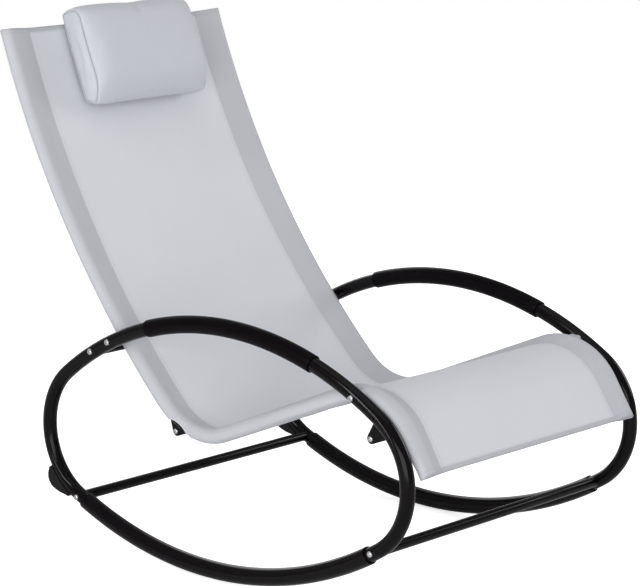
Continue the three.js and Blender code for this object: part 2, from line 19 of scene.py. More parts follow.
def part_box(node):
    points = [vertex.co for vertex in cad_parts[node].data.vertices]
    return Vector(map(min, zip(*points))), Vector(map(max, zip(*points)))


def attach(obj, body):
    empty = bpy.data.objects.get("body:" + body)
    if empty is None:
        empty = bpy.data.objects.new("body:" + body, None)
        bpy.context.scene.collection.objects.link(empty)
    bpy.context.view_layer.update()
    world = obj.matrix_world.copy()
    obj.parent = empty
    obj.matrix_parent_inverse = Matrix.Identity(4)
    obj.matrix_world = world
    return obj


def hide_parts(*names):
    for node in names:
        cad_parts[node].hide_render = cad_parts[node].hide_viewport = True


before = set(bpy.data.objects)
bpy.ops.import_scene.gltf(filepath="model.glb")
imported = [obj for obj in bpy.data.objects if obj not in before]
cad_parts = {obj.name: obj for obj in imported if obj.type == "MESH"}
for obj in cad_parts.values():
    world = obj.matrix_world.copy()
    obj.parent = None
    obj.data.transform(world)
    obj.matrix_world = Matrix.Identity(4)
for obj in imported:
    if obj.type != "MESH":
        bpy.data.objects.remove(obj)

Array = np.ndarray
Reals = Union[float, Array]
Pair = tuple[float, float]
Triple = tuple[float, float, float]
LOG = logging.getLogger("chaise")
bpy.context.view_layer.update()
MM = 0.001
HANDS = (("left", 1.0), ("right", -1.0))
WHITE = (1.0, 1.0, 1.0)


# Numbers and lines

def cos_sin(turn: Array) -> Array:
    """Cosine and sine of angles in radians, in the last axis."""
    return np.stack([np.cos(turn), np.sin(turn)], -1)


def circle(sides: int) -> Array:
    """Equally spaced angles round a circle, in radians."""
    return np.linspace(0, 2 * math.pi, sides, endpoint=False)


def steps(length: float, pitch: float) -> int:
    """Number of equal steps of about a pitch in a length."""
    return max(2, int(round(abs(length) / pitch)))


def share_of(value: Array, whole: float) -> Array:
    """Share of a whole, held between zero and one."""
    return np.clip(value / whole, 0, 1)


def eased(share: Array) -> Array:
    """Smooth step of a share held between zero and one: its square times three less twice it."""
    share = np.clip(share, 0, 1)
    return share * share * (3 - 2 * share)


def hill(offset: Array, reach: float) -> Array:
    """One at no offset, falling off both ways: e to the minus square of offset over reach."""
    return np.exp(-(offset / reach) ** 2)


def evened(values: Array, reach: int) -> Array:
    """Mean of each value and those up to a reach beside it, with the end values repeated."""
    count = 2 * reach + 1
    return np.convolve(np.pad(values, reach, mode="edge"), np.full(count, 1 / count), mode="valid")


def even_ring(points: Array, count: int) -> Array:
    """Equally spaced points round a closed line, read off at equal lengths along it.

    Args:
        points: The line's corners, as (number, 2), without the first again at the end.
        count: Points wanted.

    Returns:
        The new points, as (count, 2).
    """
    closed = np.concatenate([points, points[:1]])
    run = np.concatenate([[0], np.cumsum(np.linalg.norm(np.diff(closed, axis=0), axis=1))])
    stop = np.linspace(0, run[-1], count, endpoint=False)
    return np.stack([np.interp(stop, run, closed[:, k]) for k in (0, 1)], -1)


def polar(centre: Array, radius: Reals, degrees: Reals) -> Array:
    """Point of the side view: centre plus radius times (sin a, -cos a), a from straight down.

    Args:
        centre: Centre of the circle, as (x, z).
        radius: Distance from the centre.
        degrees: Angle from straight down, positive towards +x.

    Returns:
        The point or points, with x and z in the last axis.
    """
    turn, radius = np.broadcast_arrays(np.radians(degrees), radius)
    return np.asarray(centre) + np.stack([np.sin(turn), -np.cos(turn)], -1) * radius[..., None]


# Sizes

@dataclass(frozen=True)
class ChairSizes:
    """Driving sizes of the frame and sling, in metres and degrees."""

    rail_spacing: float = 514 * MM
    loop_outboard: float = 35.5 * MM
    knee_ahead: float = 9.54 * MM
    end_radius: float = 128 * MM
    rocker_radius: float = 760 * MM
    arm_radius: float = 648 * MM
    pitch: float = 3.4
    tube: float = 25 * MM
    tube_wall: float = 1.5 * MM
    rocker_tube: float = 30.5 * MM
    rocker_short: float = 1.58
    tail: float = 6.6
    grip: float = 30.5 * MM
    grip_rear: float = 13.6
    grip_front: float = 21.0
    rail: float = 22 * MM
    rail_wall: float = 1 * MM
    hip: Pair = (-57.6 * MM, 153 * MM)
    hip_radius: float = 131 * MM
    back_radius: float = 1590 * MM
    back_length: float = 738 * MM
    back_slope: float = 46.9
    seat_slope: float = 19.5
    seat_length: float = 299 * MM
    knee_radius: float = 117 * MM
    front_slope: float = 60.9
    front_length: float = 64 * MM
    low_bolt_short: float = 0.58
    back_bar: float = 26.8
    bar: float = 18 * MM
    play: float = 0.3 * MM
    sleeve_play: float = 0.35 * MM
    plate: float = 4 * MM
    lug_angle: float = 29.6
    lug_reach: float = 21.7 * MM
    gusset_angle: float = 19.0
    gusset_reach: float = 73.9 * MM

    @property
    def rail_y(self) -> float:
        """Place across of a rail's middle plane."""
        return self.rail_spacing / 2

    @property
    def loop_y(self) -> float:
        """Place across of a loop's middle plane."""
        return self.rail_y + self.loop_outboard

    @property
    def knee(self) -> Array:
        """Centre of the knee bend."""
        rear = polar(self.hip, self.hip_radius, self.seat_slope)
        front = polar(rear, self.seat_length, self.seat_slope + 90)
        return polar(front, self.knee_radius, self.seat_slope)

    @property
    def half_ends(self) -> float:
        """Half the distance between the centres of a loop's two ends."""
        return float(self.knee[0]) - self.knee_ahead

    def centre_height(self, radius: float) -> float:
        """Height of a long arc's centre over the ends' centres, by Pythagoras."""
        return math.sqrt((radius - self.end_radius) ** 2 - self.half_ends ** 2)

    @property
    def rocker_centre(self) -> Array:
        """Centre of the rocker's arc."""
        return np.array([0.0, self.centre_height(self.rocker_radius)])

    @property
    def arm_centre(self) -> Array:
        """Centre of the arm's arc."""
        return np.array([0.0, -self.centre_height(self.arm_radius)])

    def join(self, radius: float) -> float:
        """Angle from a long arc's middle to where it meets an end arc."""
        return math.degrees(math.asin(self.half_ends / (radius - self.end_radius)))

    @property
    def rocker_join(self) -> float:
        """Angle from straight down where the rocker's arc meets an end arc."""
        return self.join(self.rocker_radius)

    @property
    def arm_join(self) -> float:
        """Angle from straight up where the arm's arc meets an end arc."""
        return self.join(self.arm_radius)

    @property
    def rocker_half(self) -> float:
        """Angle from straight down where a rocker tube ends."""
        return self.rocker_join - self.rocker_short

    @property
    def rear_low(self) -> Array:
        """Bolt through the rear low bar."""
        return polar(self.rocker_centre, self.rocker_radius, self.low_bolt_short - self.rocker_join)

    @property
    def front_low(self) -> Array:
        """Bolt through the front low bar."""
        return polar(self.rocker_centre, self.rocker_radius, self.rocker_join - self.low_bolt_short)

    @property
    def arm_bar(self) -> Array:
        """Bolt through the bar behind the back."""
        return polar(self.arm_centre, self.arm_radius, self.back_bar - 180)

    @property
    def bend_bolt(self) -> Array:
        """Bolt through the lug under the hip bend."""
        return polar(self.hip, self.hip_radius + self.lug_reach, -self.lug_angle)

    @property
    def knee_bolt(self) -> Array:
        """Bolt through the gusset in the knee bend."""
        return polar(self.knee, self.knee_radius - self.gusset_reach, 180 - self.gusset_angle)


SIZES = ChairSizes()


@dataclass(frozen=True)
class Stance:
    """Where the chair's side view stands in the frame: pitched nose-up, then moved."""

    pitch: float
    x: float
    z: float

    @classmethod
    def on_bolt(cls, sizes: ChairSizes) -> "Stance":
        """Reads the stance off a packed bolt, whose middle is known in both views.

        Args:
            sizes: The chair's driving sizes.

        Returns:
            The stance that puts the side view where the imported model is.
        """
        low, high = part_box("left_rear_low_bolt")
        pitch = math.radians(sizes.pitch)
        x, z = sizes.rear_low
        turned_x = x * math.cos(pitch) - z * math.sin(pitch)
        turned_z = x * math.sin(pitch) + z * math.cos(pitch)
        return cls(pitch, (low.x + high.x) / 2 - turned_x, (low.z + high.z) / 2 - turned_z)

    def place(self, points: Array) -> Array:
        """Turns chair points into frame points: a turn about y by the pitch, then a move.

        Args:
            points: Points with x, y and z in the last axis.

        Returns:
            The same points in the frame.
        """
        c, s = math.cos(self.pitch), math.sin(self.pitch)
        x, y, z = points[..., 0], points[..., 1], points[..., 2]
        return np.stack([self.x + c * x - s * z, y, self.z + s * x + c * z], axis=-1)


STANCE = Stance.on_bolt(SIZES)


# Paths and surfaces

class BentPath:
    """A side-view path of tangent arcs and lines, addressed by the distance along it."""

    def __init__(self, start: Array, heading: float) -> None:
        """Starts a path.

        Args:
            start: First point, as (x, z).
            heading: Direction of travel in degrees from +x, positive upwards.
        """
        self._starts: list[Array] = [np.asarray(start, float)]
        self._headings: list[float] = [math.radians(heading)]
        self._curves: list[float] = []
        self._ends: list[float] = [0.0]

    def _go(self, length: float, curve: float) -> "BentPath":
        """Adds a run of one curvature, one over its radius, positive to the left of travel."""
        self._curves.append(curve)
        self._ends.append(self._ends[-1] + length)
        place, heading = self._along(len(self._curves) - 1, np.array([length]))
        self._starts.append(place[0])
        self._headings.append(float(heading[0]))
        return self

    def line(self, length: float) -> "BentPath":
        """Adds a straight run."""
        return self._go(length, 0.0)

    def arc(self, radius: float, turn: float) -> "BentPath":
        """Adds an arc that turns by some degrees, positive to the left of travel."""
        return self._go(radius * math.radians(abs(turn)), math.copysign(1 / radius, turn))

    def _along(self, run: int, distance: Array) -> tuple[Array, Array]:
        """Place and heading at distances into one run.

        On a line the step is the distance times (cos, sin) of the heading. On an arc it is the
        difference of the headings' (sin, -cos) over the curvature.
        """
        start, heading, curve = self._starts[run], self._headings[run], self._curves[run]
        later = heading + curve * distance
        if curve == 0:
            return start + cos_sin(later) * distance[..., None], later
        x, z = np.sin(later) - math.sin(heading), math.cos(heading) - np.cos(later)
        return start + np.stack([x, z], -1) / curve, later

    @property
    def length(self) -> float:
        """Whole length of the path."""
        return self._ends[-1]

    def mark(self, run: int) -> float:
        """Distance along the path where a run starts."""
        return self._ends[run]

    def at(self, distance: Reals) -> tuple[Array, Array]:
        """Place and heading at distances along the path; the ends run on straight.

        Args:
            distance: Distances from the start.

        Returns:
            Places as (..., 2) and headings in radians.
        """
        distance = np.asarray(distance, float)
        inside = np.clip(distance, 0, self.length)
        run = np.searchsorted(self._ends, inside, side="right") - 1
        run = np.clip(run, 0, len(self._curves) - 1)
        place = np.zeros(distance.shape + (2,))
        heading = np.zeros(distance.shape)
        for k in range(len(self._curves)):
            here = run == k
            if here.any():
                place[here], heading[here] = self._along(k, inside[here] - self._ends[k])
        place += cos_sin(heading) * (distance - inside)[..., None]
        return place, heading

    def lift(self, distance: Reals, normal: Reals, across: Reals) -> Array:
        """Points beside the path: its place, plus an offset to the right of travel, plus y.

        Args:
            distance: Distances along the path.
            normal: Offsets in the side view, positive to the right of travel.
            across: Place across of each point.

        Returns:
            Points as (..., 3) in the chair's view.
        """
        distance, normal, across = np.broadcast_arrays(distance, normal, across)
        place, heading = self.at(distance)
        x = place[..., 0] + normal * np.sin(heading)
        z = place[..., 1] - normal * np.cos(heading)
        return np.stack([x, across, z], axis=-1)


def crossings(first: BentPath, second: BentPath, samples: int = 1500) -> list[Pair]:
    """Where two paths cross, once in each half of the first: the closest of sampled points.

    Args:
        first: The path whose halves are searched.
        second: The path that it crosses.
        samples: Points taken on each.

    Returns:
        Distances along the first and the second path, for each half.
    """
    found = []
    split = 0.55
    there = np.linspace(0, second.length, 2 * samples)
    other = second.at(there)[0]
    for low, high in ((0.0, split), (split, 1.0)):
        here = np.linspace(low * first.length, high * first.length, samples)
        apart = ((first.at(here)[0][:, None] - other[None]) ** 2).sum(-1)
        i, j = np.unravel_index(apart.argmin(), apart.shape)
        found.append((float(here[i]), float(there[j])))
    return found


def grid_faces(rows: int, columns: int, wrap_rows: bool, wrap_columns: bool) -> Array:
    """Quads of a grid of points stored row by row.

    Args:
        rows: Number of rows.
        columns: Number of columns.
        wrap_rows: Whether the last row joins the first.
        wrap_columns: Whether the last column joins the first.

    Returns:
        Corner indices as (rows, columns, 4).
    """
    i = np.arange(rows if wrap_rows else rows - 1)[:, None]
    j = np.arange(columns if wrap_columns else columns - 1)[None, :]
    up, right = (i + 1) % rows, (j + 1) % columns
    corners = (i * columns + j, i * columns + right, up * columns + right, up * columns + j)
    return np.stack(np.broadcast_arrays(*corners), -1)


def inside_out(points: Array, triangles: Array) -> bool:
    """Whether closed faces point inwards: their corners' triple products add up below zero."""
    a, b, c = np.moveaxis(points[triangles], 1, 0)
    return float(np.einsum("ij,ij->", a, np.cross(b, c))) < 0


@dataclass
class Skin:
    """A surface worked out as a grid of points, with an optional cloth map and marks.

    A skin that wraps both ways is closed, and caps close the two ends of one that doesn't. Marks
    are numbers at the points, which a finish reads by their name.
    """

    grid: Array
    wrap_rows: bool = False
    wrap_columns: bool = True
    caps: bool = False
    uv: Optional[Array] = None
    keep: Optional[Array] = None
    marks: dict[str, Array] = field(default_factory=dict)
    sharp: float = 40.0

    def faces(self) -> tuple[Array, Array, Array]:
        """Works out the faces, each cap as a fan about the mean of its ring.

        Returns:
            Points, quads and cap triangles, in the chair's view and turned outwards.
        """
        rows, columns = self.grid.shape[:2]
        points = self.grid.reshape(-1, 3)
        quads = grid_faces(rows, columns, self.wrap_rows, self.wrap_columns)
        quads = quads[self.keep] if self.keep is not None else quads.reshape(-1, 4)
        triangles = np.zeros((0, 3), int)
        if self.caps:
            j = np.arange(columns)
            k, last, end = (j + 1) % columns, (rows - 1) * columns, len(points)
            points = np.vstack([points, points[:columns].mean(0), points[-columns:].mean(0)])
            start = np.stack([np.full(columns, end), k, j], -1)
            stop = np.stack([np.full(columns, end + 1), last + j, last + k], -1)
            triangles = np.concatenate([start, stop])
        fans = np.concatenate([quads[:, [0, 1, 2]], quads[:, [0, 2, 3]], triangles])
        closed = self.caps or (self.wrap_rows and self.wrap_columns)
        if closed and inside_out(points, fans):
            quads, triangles = quads[:, ::-1], triangles[:, ::-1]
        return points, quads, triangles


def knit(name: str, skins: Sequence[Skin], floor: Optional[float] = None) -> bpy.types.Mesh:
    """Writes skins into one mesh, placed in the frame.

    Args:
        name: Name of the mesh.
        skins: Its surfaces.
        floor: Height that no point goes below.

    Returns:
        The new mesh, smooth but for edges sharper than the first skin says.
    """
    points, polygons, uvs, marks, base = [], [], [], {}, 0
    for skin in skins:
        own, quads, triangles = skin.faces()
        points.append(own)
        polygons += (quads + base).tolist() + (triangles + base).tolist()
        flat = np.zeros((len(own), 2))
        if skin.uv is not None:
            flat[:skin.uv[..., 0].size] = skin.uv.reshape(-1, 2)
        uvs.append(flat)
        for key, values in skin.marks.items():
            whole = np.broadcast_to(values, skin.grid.shape[:2]).ravel()
            marks.setdefault(key, []).append((base, whole))
        base += len(own)
    placed = STANCE.place(np.vstack(points))
    if floor is not None:
        placed[:, 2] = np.maximum(placed[:, 2], floor)
    mesh = bpy.data.meshes.new(name)
    mesh.from_pydata(placed.tolist(), [], polygons)
    if any(skin.uv is not None for skin in skins):
        corners = np.zeros(len(mesh.loops), np.int32)
        mesh.loops.foreach_get("vertex_index", corners)
        chart(mesh, np.vstack(uvs)[corners])
    for key, parts in marks.items():
        values = np.zeros(base)
        for start, part in parts:
            values[start:start + len(part)] = part
        mark(mesh, key, values)
    return smooth(mesh, skins[0].sharp)


def chart(mesh: bpy.types.Mesh, uv: Array) -> None:
    """Writes the cloth map, in metres, at the corners of a mesh's faces."""
    layer = mesh.uv_layers.new(name="cloth")
    layer.data.foreach_set("uv", uv.ravel().astype(np.float32))


def mark(mesh: bpy.types.Mesh, key: str, values: Array) -> None:
    """Writes a number for each point of a mesh, which a finish reads by its name."""
    layer = mesh.attributes.new(key, "FLOAT", "POINT")
    layer.data.foreach_set("value", values.astype(np.float32))


def smooth(mesh: bpy.types.Mesh, sharp: float) -> bpy.types.Mesh:
    """Shades a mesh smooth but for edges sharper than an angle in degrees."""
    mesh.polygons.foreach_set("use_smooth", np.ones(len(mesh.polygons), bool))
    mesh.set_sharp_from_angle(angle=math.radians(sharp))
    mesh.update()
    return mesh


def tube_skin(path: BentPath, distance: Array, radius: Array, sides: int, y: float) -> Skin:
    """A closed tube: an outline of distances and radii carried round the path's line.

    Args:
        path: The tube's centre line.
        distance: Distance along the path of each outline point.
        radius: Radius of each outline point.
        sides: Points round the tube.
        y: Place across of the centre line.

    Returns:
        The tube's skin.
    """
    turn = circle(sides)[None, :]
    normal, across = radius[:, None] * np.cos(turn), y + radius[:, None] * np.sin(turn)
    return Skin(path.lift(distance[:, None], normal, across), wrap_rows=True)


def ring_grid(place: Array, radius: Reals, turn: Array, y: Array) -> Array:
    """Rings across the chair: a place plus a radius times (cos a, sin a), each point at its y.

    Args:
        place: The rings' middle in the side view.
        radius: Their radius, or one for each ring or point.
        turn: Angles round them, in radians.
        y: Place across of each ring or point.

    Returns:
        The points as (rings, angles, 3).
    """
    x, z = place[0] + radius * np.cos(turn), place[1] + radius * np.sin(turn)
    return np.stack(np.broadcast_arrays(x, y, z), -1)


def wall_outline(length: float, outer: float, inner: float, ease: float,
                 pitch: float) -> tuple[Array, Array]:
    """Closed outline of a tube's wall, whose outer ends are quarter circles.

    Args:
        length: Length of the tube.
        outer: Outer radius.
        inner: Bore radius.
        ease: Radius of the eased edges.
        pitch: Step along the tube.

    Returns:
        Distances and radii of the outline's points.
    """
    quarter = np.linspace(0, math.pi / 2, 5)
    body = np.linspace(ease, length - ease, steps(length, pitch) + 1)
    bore = np.linspace(length, 0, steps(length, 3 * pitch) + 1)
    rise, run = outer - ease + ease * np.sin(quarter), ease * np.cos(quarter)
    distance = np.concatenate([(ease - run)[:-1], body, (length - ease + run[::-1])[1:], bore])
    radius = np.concatenate([rise[:-1], np.full(body.shape, outer), rise[::-1][1:],
                             np.full(bore.shape, inner)])
    return distance, radius


@dataclass(frozen=True)
class Spindle:
    """A line that turned pieces are made about, with two directions square to it."""

    start: Array
    way: Array
    first: Array
    second: Array

    @classmethod
    def across(cls, place: Array, y: float, side: float) -> "Spindle":
        """A line outward across the chair from a point of the side view."""
        start = np.array([place[0], y, place[1]])
        return cls(start, np.array([0, side, 0.0]), np.array([1.0, 0, 0]), np.array([0, 0, 1.0]))

    @classmethod
    def along(cls, path: BentPath, distance: float, y: float, sense: float) -> "Spindle":
        """A line along a path's heading at a distance, or against it for a sense of -1."""
        place, heading = path.at(distance)
        way = sense * np.array([math.cos(heading), 0, math.sin(heading)])
        start, beside = np.array([place[0], y, place[1]]), np.array([-way[2], 0, way[0]])
        return cls(start, way, beside, np.array([0, 1.0, 0]))

    def turn(self, outline: Sequence[Sequence[float]], sides: int) -> Skin:
        """Turns an outline of (radius, height) or (radius, height, hexagon share) about the line.

        A hexagon's radius at an angle is its flat's distance over the cosine of the angle to
        the nearest flat's middle.

        Args:
            outline: The outline's points.
            sides: Points round the piece.

        Returns:
            The turned skin.
        """
        table = np.array([(*point, 0.0)[:3] for point in outline])
        turn = circle(sides)
        flat = 1 / np.cos(np.mod(turn, math.pi / 3) - math.pi / 6)
        radius = table[:, :1] * (1 + table[:, 2:] * (flat[None] - 1))
        ring = cos_sin(turn) @ np.stack([self.first, self.second])
        grid = self.start + table[:, 1, None, None] * self.way + radius[..., None] * ring[None]
        return Skin(grid, caps=True)


def rope_skin(points: Array, radius: Reals, sides: int, closed: bool) -> Skin:
    """A round strand along a line of points, on frames carried from point to point.

    Each frame's first direction is the last one less its part along the strand.

    Args:
        points: The strand's points, as (count, 3).
        radius: Its radius, or one for each point.
        sides: Points round it.
        closed: Whether it joins itself.

    Returns:
        The strand's skin.
    """
    if closed:
        ahead = np.roll(points, -1, 0) - np.roll(points, 1, 0)
    else:
        ahead = np.gradient(points, axis=0)
    ahead = ahead / np.linalg.norm(ahead, axis=1, keepdims=True)
    side = np.zeros_like(points)
    askew = (0.31, 0.85, 0.42)
    last = np.cross(ahead[0], askew)
    for i, way in enumerate(ahead):
        last = last - way * last.dot(way)
        last = last / np.linalg.norm(last)
        side[i] = last
    other = np.cross(ahead, side)
    turn = circle(sides)[None, :, None]
    reach = np.broadcast_to(radius, (len(points),))[:, None, None]
    grid = points[:, None] + reach * (np.cos(turn) * side[:, None] + np.sin(turn) * other[:, None])
    return Skin(grid, wrap_rows=closed, caps=not closed)


# Rings of a stitch, as shares of its length from its middle and of its thickness.
STITCH_OUTLINE = ((-0.5, 0.12), (-0.42, 0.7), (-0.18, 1), (0.18, 1), (0.42, 0.7), (0.5, 0.12))
STITCH_SIDES = 5


def stitch_skin(centres: Array, ways: Array, ups: Array, length: float, thick: float) -> Skin:
    """Many short stitches in one skin: each is a row of rings, drawn in at both ends.

    Args:
        centres: Middle of each stitch, as (count, 3).
        ways: Direction of each stitch.
        ups: Direction out of the cloth at each.
        length: Length of a stitch.
        thick: Its thickness.

    Returns:
        The stitches' skin, whose kept faces leave out the spaces between stitches.
    """
    way = ways / np.linalg.norm(ways, axis=1, keepdims=True)
    up = ups - way * (ups * way).sum(1, keepdims=True)
    up = up / np.linalg.norm(up, axis=1, keepdims=True)
    side = np.cross(way, up)
    along, swell = np.array(STITCH_OUTLINE).T[..., None, None]
    turn = circle(STITCH_SIDES)[:, None]
    spot = centres[:, None, None] + along * length * way[:, None, None]
    ring = np.cos(turn) * up[:, None, None] + np.sin(turn) * side[:, None, None]
    grid = (spot + swell * thick / 2 * ring).reshape(-1, len(turn), 3)
    keep = np.ones((len(grid) - 1, len(turn)), bool)
    keep[len(along) - 1::len(along)] = False
    return Skin(grid, keep=keep)


# Materials

class Value:
    """A socket in a material's nodes that Python's operators can work on."""

    def __init__(self, book: "NodeBook", socket: bpy.types.NodeSocket) -> None:
        """Wraps a socket of a book's nodes."""
        self.book = book
        self.socket = socket

    def _math(self, operation: str, *values: object) -> "Value":
        """Adds a Math node of an operation on values."""
        return self.book.node("ShaderNodeMath", {"operation": operation}, dict(enumerate(values)))

    def __add__(self, other: object) -> "Value":
        """Sum."""
        return self._math("ADD", self, other)

    def __sub__(self, other: object) -> "Value":
        """Difference."""
        return self._math("SUBTRACT", self, other)

    def __mul__(self, other: object) -> "Value":
        """Product."""
        return self._math("MULTIPLY", self, other)

    __radd__ = __add__
    __rmul__ = __mul__

    def __rsub__(self, other: float) -> "Value":
        """A number less this value."""
        return self._math("SUBTRACT", other, self)

    def __abs__(self) -> "Value":
        """Size without sign."""
        return self._math("ABSOLUTE", self)

    def sine(self) -> "Value":
        """Sine of the value in radians."""
        return self._math("SINE", self)

    def ramp(self, low: float, high: float) -> "Value":
        """Smooth step from zero at low to one at high."""
        return self.book.node("ShaderNodeMapRange", {"interpolation_type": "SMOOTHSTEP"},
                              {"Value": self, "From Min": low, "From Max": high})


class NodeBook:
    """The nodes of one material or of the world."""

    def __init__(self, tree: bpy.types.NodeTree, shader: str, output: str) -> None:
        """Starts a node tree afresh.

        Args:
            tree: The tree.
            shader: Type of its main shader.
            output: Type of its output node.
        """
        self.nodes, self.links = tree.nodes, tree.links
        self.nodes.clear()
        self.shader = self.nodes.new(shader)
        self.output = self.nodes.new(output)
        self.links.new(self.shader.outputs[0], self.output.inputs["Surface"])

    @classmethod
    def material(cls, name: str) -> tuple["NodeBook", bpy.types.Material]:
        """A book for a new material with a Principled shader."""
        made = bpy.data.materials.new(name)
        made.use_nodes = True
        return cls(made.node_tree, "ShaderNodeBsdfPrincipled", "ShaderNodeOutputMaterial"), made

    def node(self, kind: str, settings: dict, inputs: dict, output: Union[int, str] = 0) -> Value:
        """Adds a node, sets it up, then links or sets what feeds it.

        Args:
            kind: The node's type.
            settings: Properties of the node.
            inputs: Values or links of its sockets, by name or place.
            output: Which output is wanted.

        Returns:
            The output as a value.
        """
        made = self.nodes.new(kind)
        for key, setting in settings.items():
            setattr(made, key, setting)
        for key, value in inputs.items():
            self.feed(made.inputs[key], value)
        return Value(self, made.outputs[output])

    def feed(self, socket: bpy.types.NodeSocket, value: object) -> None:
        """Links a value to a socket, or sets the socket's own number."""
        if isinstance(value, Value):
            self.links.new(value.socket, socket)
        else:
            socket.default_value = value

    def drive(self, **feeds: object) -> None:
        """Feeds the shader's sockets, named with underscores for spaces."""
        for name, value in feeds.items():
            self.feed(self.shader.inputs[name.replace("_", " ")], value)

    def place(self) -> Value:
        """Object coordinates."""
        return self.node("ShaderNodeTexCoord", {}, {}, "Object")

    def mark(self, name: str) -> Value:
        """A number carried by the mesh's points."""
        return self.node("ShaderNodeAttribute", {"attribute_name": name}, {}, "Fac")

    def cloth(self) -> tuple[Value, Value]:
        """The cloth's own map: distance across it and along it, in metres."""
        uv = self.node("ShaderNodeUVMap", {"uv_map": "cloth"}, {})
        across = self.node("ShaderNodeSeparateXYZ", {}, {0: uv})
        return across, Value(self, across.socket.node.outputs[1])

    def stretched(self, place: Value, scale: Sequence[float]) -> Value:
        """Coordinates scaled along each axis."""
        return self.node("ShaderNodeMapping", {}, {"Vector": place, "Scale": scale})

    def noise(self, place: Value, scale: float, detail: float = 2.0) -> Value:
        """Noise of a scale per metre, about one half on average."""
        return self.node("ShaderNodeTexNoise", {},
                         {"Vector": place, "Scale": scale, "Detail": detail})

    def pebbles(self, place: Value, scale: float) -> Value:
        """Distance to the nearest of scattered points."""
        return self.node("ShaderNodeTexVoronoi", {}, {"Vector": place, "Scale": scale}, "Distance")

    def blend(self, share: Value, under: object, over: object) -> Value:
        """Mixes two colours, each a value or a plain triple, by a share."""
        under, over = (c if isinstance(c, Value) else (*c, 1.0) for c in (under, over))
        return self.node("ShaderNodeMix", {"data_type": "RGBA", "clamp_factor": True},
                         {0: share, 6: under, 7: over}, 2)

    def relief(self, height: Value, strength: float, depth: float) -> None:
        """Feeds the shader's normal from a height through a Bump node."""
        self.drive(Normal=self.node("ShaderNodeBump", {}, {"Height": height, "Strength": strength,
                                                           "Distance": depth}))


Look = tuple[Value, Value, Value]


def tinted(color: Sequence[float], share: float) -> tuple[float, ...]:
    """A colour made lighter or darker by a share."""
    return tuple(min(1.0, share * c) for c in color)


@dataclass(frozen=True)
class Coat:
    """What the finishes share: the shader's plain settings and relief's strength and depth."""

    color: Triple
    roughness: float = 0.5
    specular: float = 0.5
    metallic: float = 0.0
    sheen: float = 0.0
    relief: Pair = (0.3, 0.1 * MM)

    def build(self, name: str) -> bpy.types.Material:
        """Makes the material: the finish's own colour, added roughness and relief."""
        book, made = NodeBook.material(name)
        tone, rough, height = self.dress(book, book.place())
        book.drive(Base_Color=tone, Roughness=rough + self.roughness, Metallic=self.metallic,
                   Specular_IOR_Level=self.specular, Sheen_Weight=self.sheen)
        book.relief(height, *self.relief)
        return made

    def dress(self, book: NodeBook, place: Value) -> Look:
        """Works out colour, added roughness and height of relief at a place."""
        raise NotImplementedError


@dataclass(frozen=True)
class Paint(Coat):
    """Gloss powder coat: near-black, with orange peel, clouded gloss and specks of dust."""

    color: Triple = (0.0022, 0.0013, 0.002)
    roughness: float = 0.09
    specular: float = 0.15
    relief: Pair = (0.12, 0.12 * MM)
    speck: Triple = (0.05, 0.048, 0.05)
    cloud_scale: float = 9.0
    peel_scale: float = 620.0
    dust_scale: float = 2300.0
    dust_range: Pair = (0.7, 0.8)
    dust_share: float = 0.35

    def dress(self, book: NodeBook, place: Value) -> Look:
        """Dust lightens and dulls the paint, clouds dull it, and peel and dust stand out."""
        cloud, peel = book.noise(place, self.cloud_scale), book.noise(place, self.peel_scale, 1.0)
        dust = book.noise(place, self.dust_scale, 0.0).ramp(*self.dust_range)
        tone = book.blend(dust * self.dust_share, self.color, self.speck)
        return tone, cloud * 0.08 + dust * 0.12, peel + dust * 0.3


@dataclass(frozen=True)
class Moulding(Coat):
    """Moulded black plastic: a fine pebble grain over a satin ground."""

    color: Triple = (0.0026, 0.0019, 0.0024)
    roughness: float = 0.28
    specular: float = 0.045
    relief: Pair = (0.35, 0.1 * MM)
    lighter: float = 1.6
    cloud_scale: float = 14.0
    grain_scale: float = 900.0

    def dress(self, book: NodeBook, place: Value) -> Look:
        """Clouds lighten and dull the ground, and each pebble is a little bump."""
        pebble, cloud = book.pebbles(place, self.grain_scale), book.noise(place, self.cloud_scale)
        tone = book.blend(cloud, self.color, tinted(self.color, self.lighter))
        return tone, cloud * 0.1 - pebble * 0.05, pebble


@dataclass(frozen=True)
class Rubber(Coat):
    """Matte moulded rubber with a dusty bloom in its grain."""

    color: Triple = (0.0055, 0.005, 0.0055)
    roughness: float = 0.62
    specular: float = 0.2
    bloom: Triple = (0.017, 0.016, 0.017)
    bloom_scale: float = 45.0
    bloom_range: Pair = (0.45, 0.75)
    bloom_share: float = 0.5
    pore_scale: float = 1600.0

    def dress(self, book: NodeBook, place: Value) -> Look:
        """Bloom lightens and dulls the rubber, and pores roughen it."""
        bloom = book.noise(place, self.bloom_scale, 4.0).ramp(*self.bloom_range)
        tone = book.blend(bloom * self.bloom_share, self.color, self.bloom)
        return tone, bloom * 0.2, book.noise(place, self.pore_scale, 1.0)


@dataclass(frozen=True)
class Zinc(Coat):
    """Zinc plate on steel: bright, clouded, with fine turning marks."""

    color: Triple = (0.72, 0.73, 0.75)
    roughness: float = 0.2
    metallic: float = 1.0
    relief: Pair = (0.12, 0.05 * MM)
    dull: Triple = (0.5, 0.51, 0.52)
    bloom_scale: float = 260.0
    mark_scale: Sequence[float] = (4000.0, 300.0, 4000.0)

    def dress(self, book: NodeBook, place: Value) -> Look:
        """Clouds dull the plate, and marks run round its turned faces."""
        bloom = book.noise(place, self.bloom_scale, 3.0)
        marks = book.noise(book.stretched(place, self.mark_scale), 1.0, 1.0)
        return book.blend(bloom, self.color, self.dull), bloom * 0.16 + marks * 0.05, marks


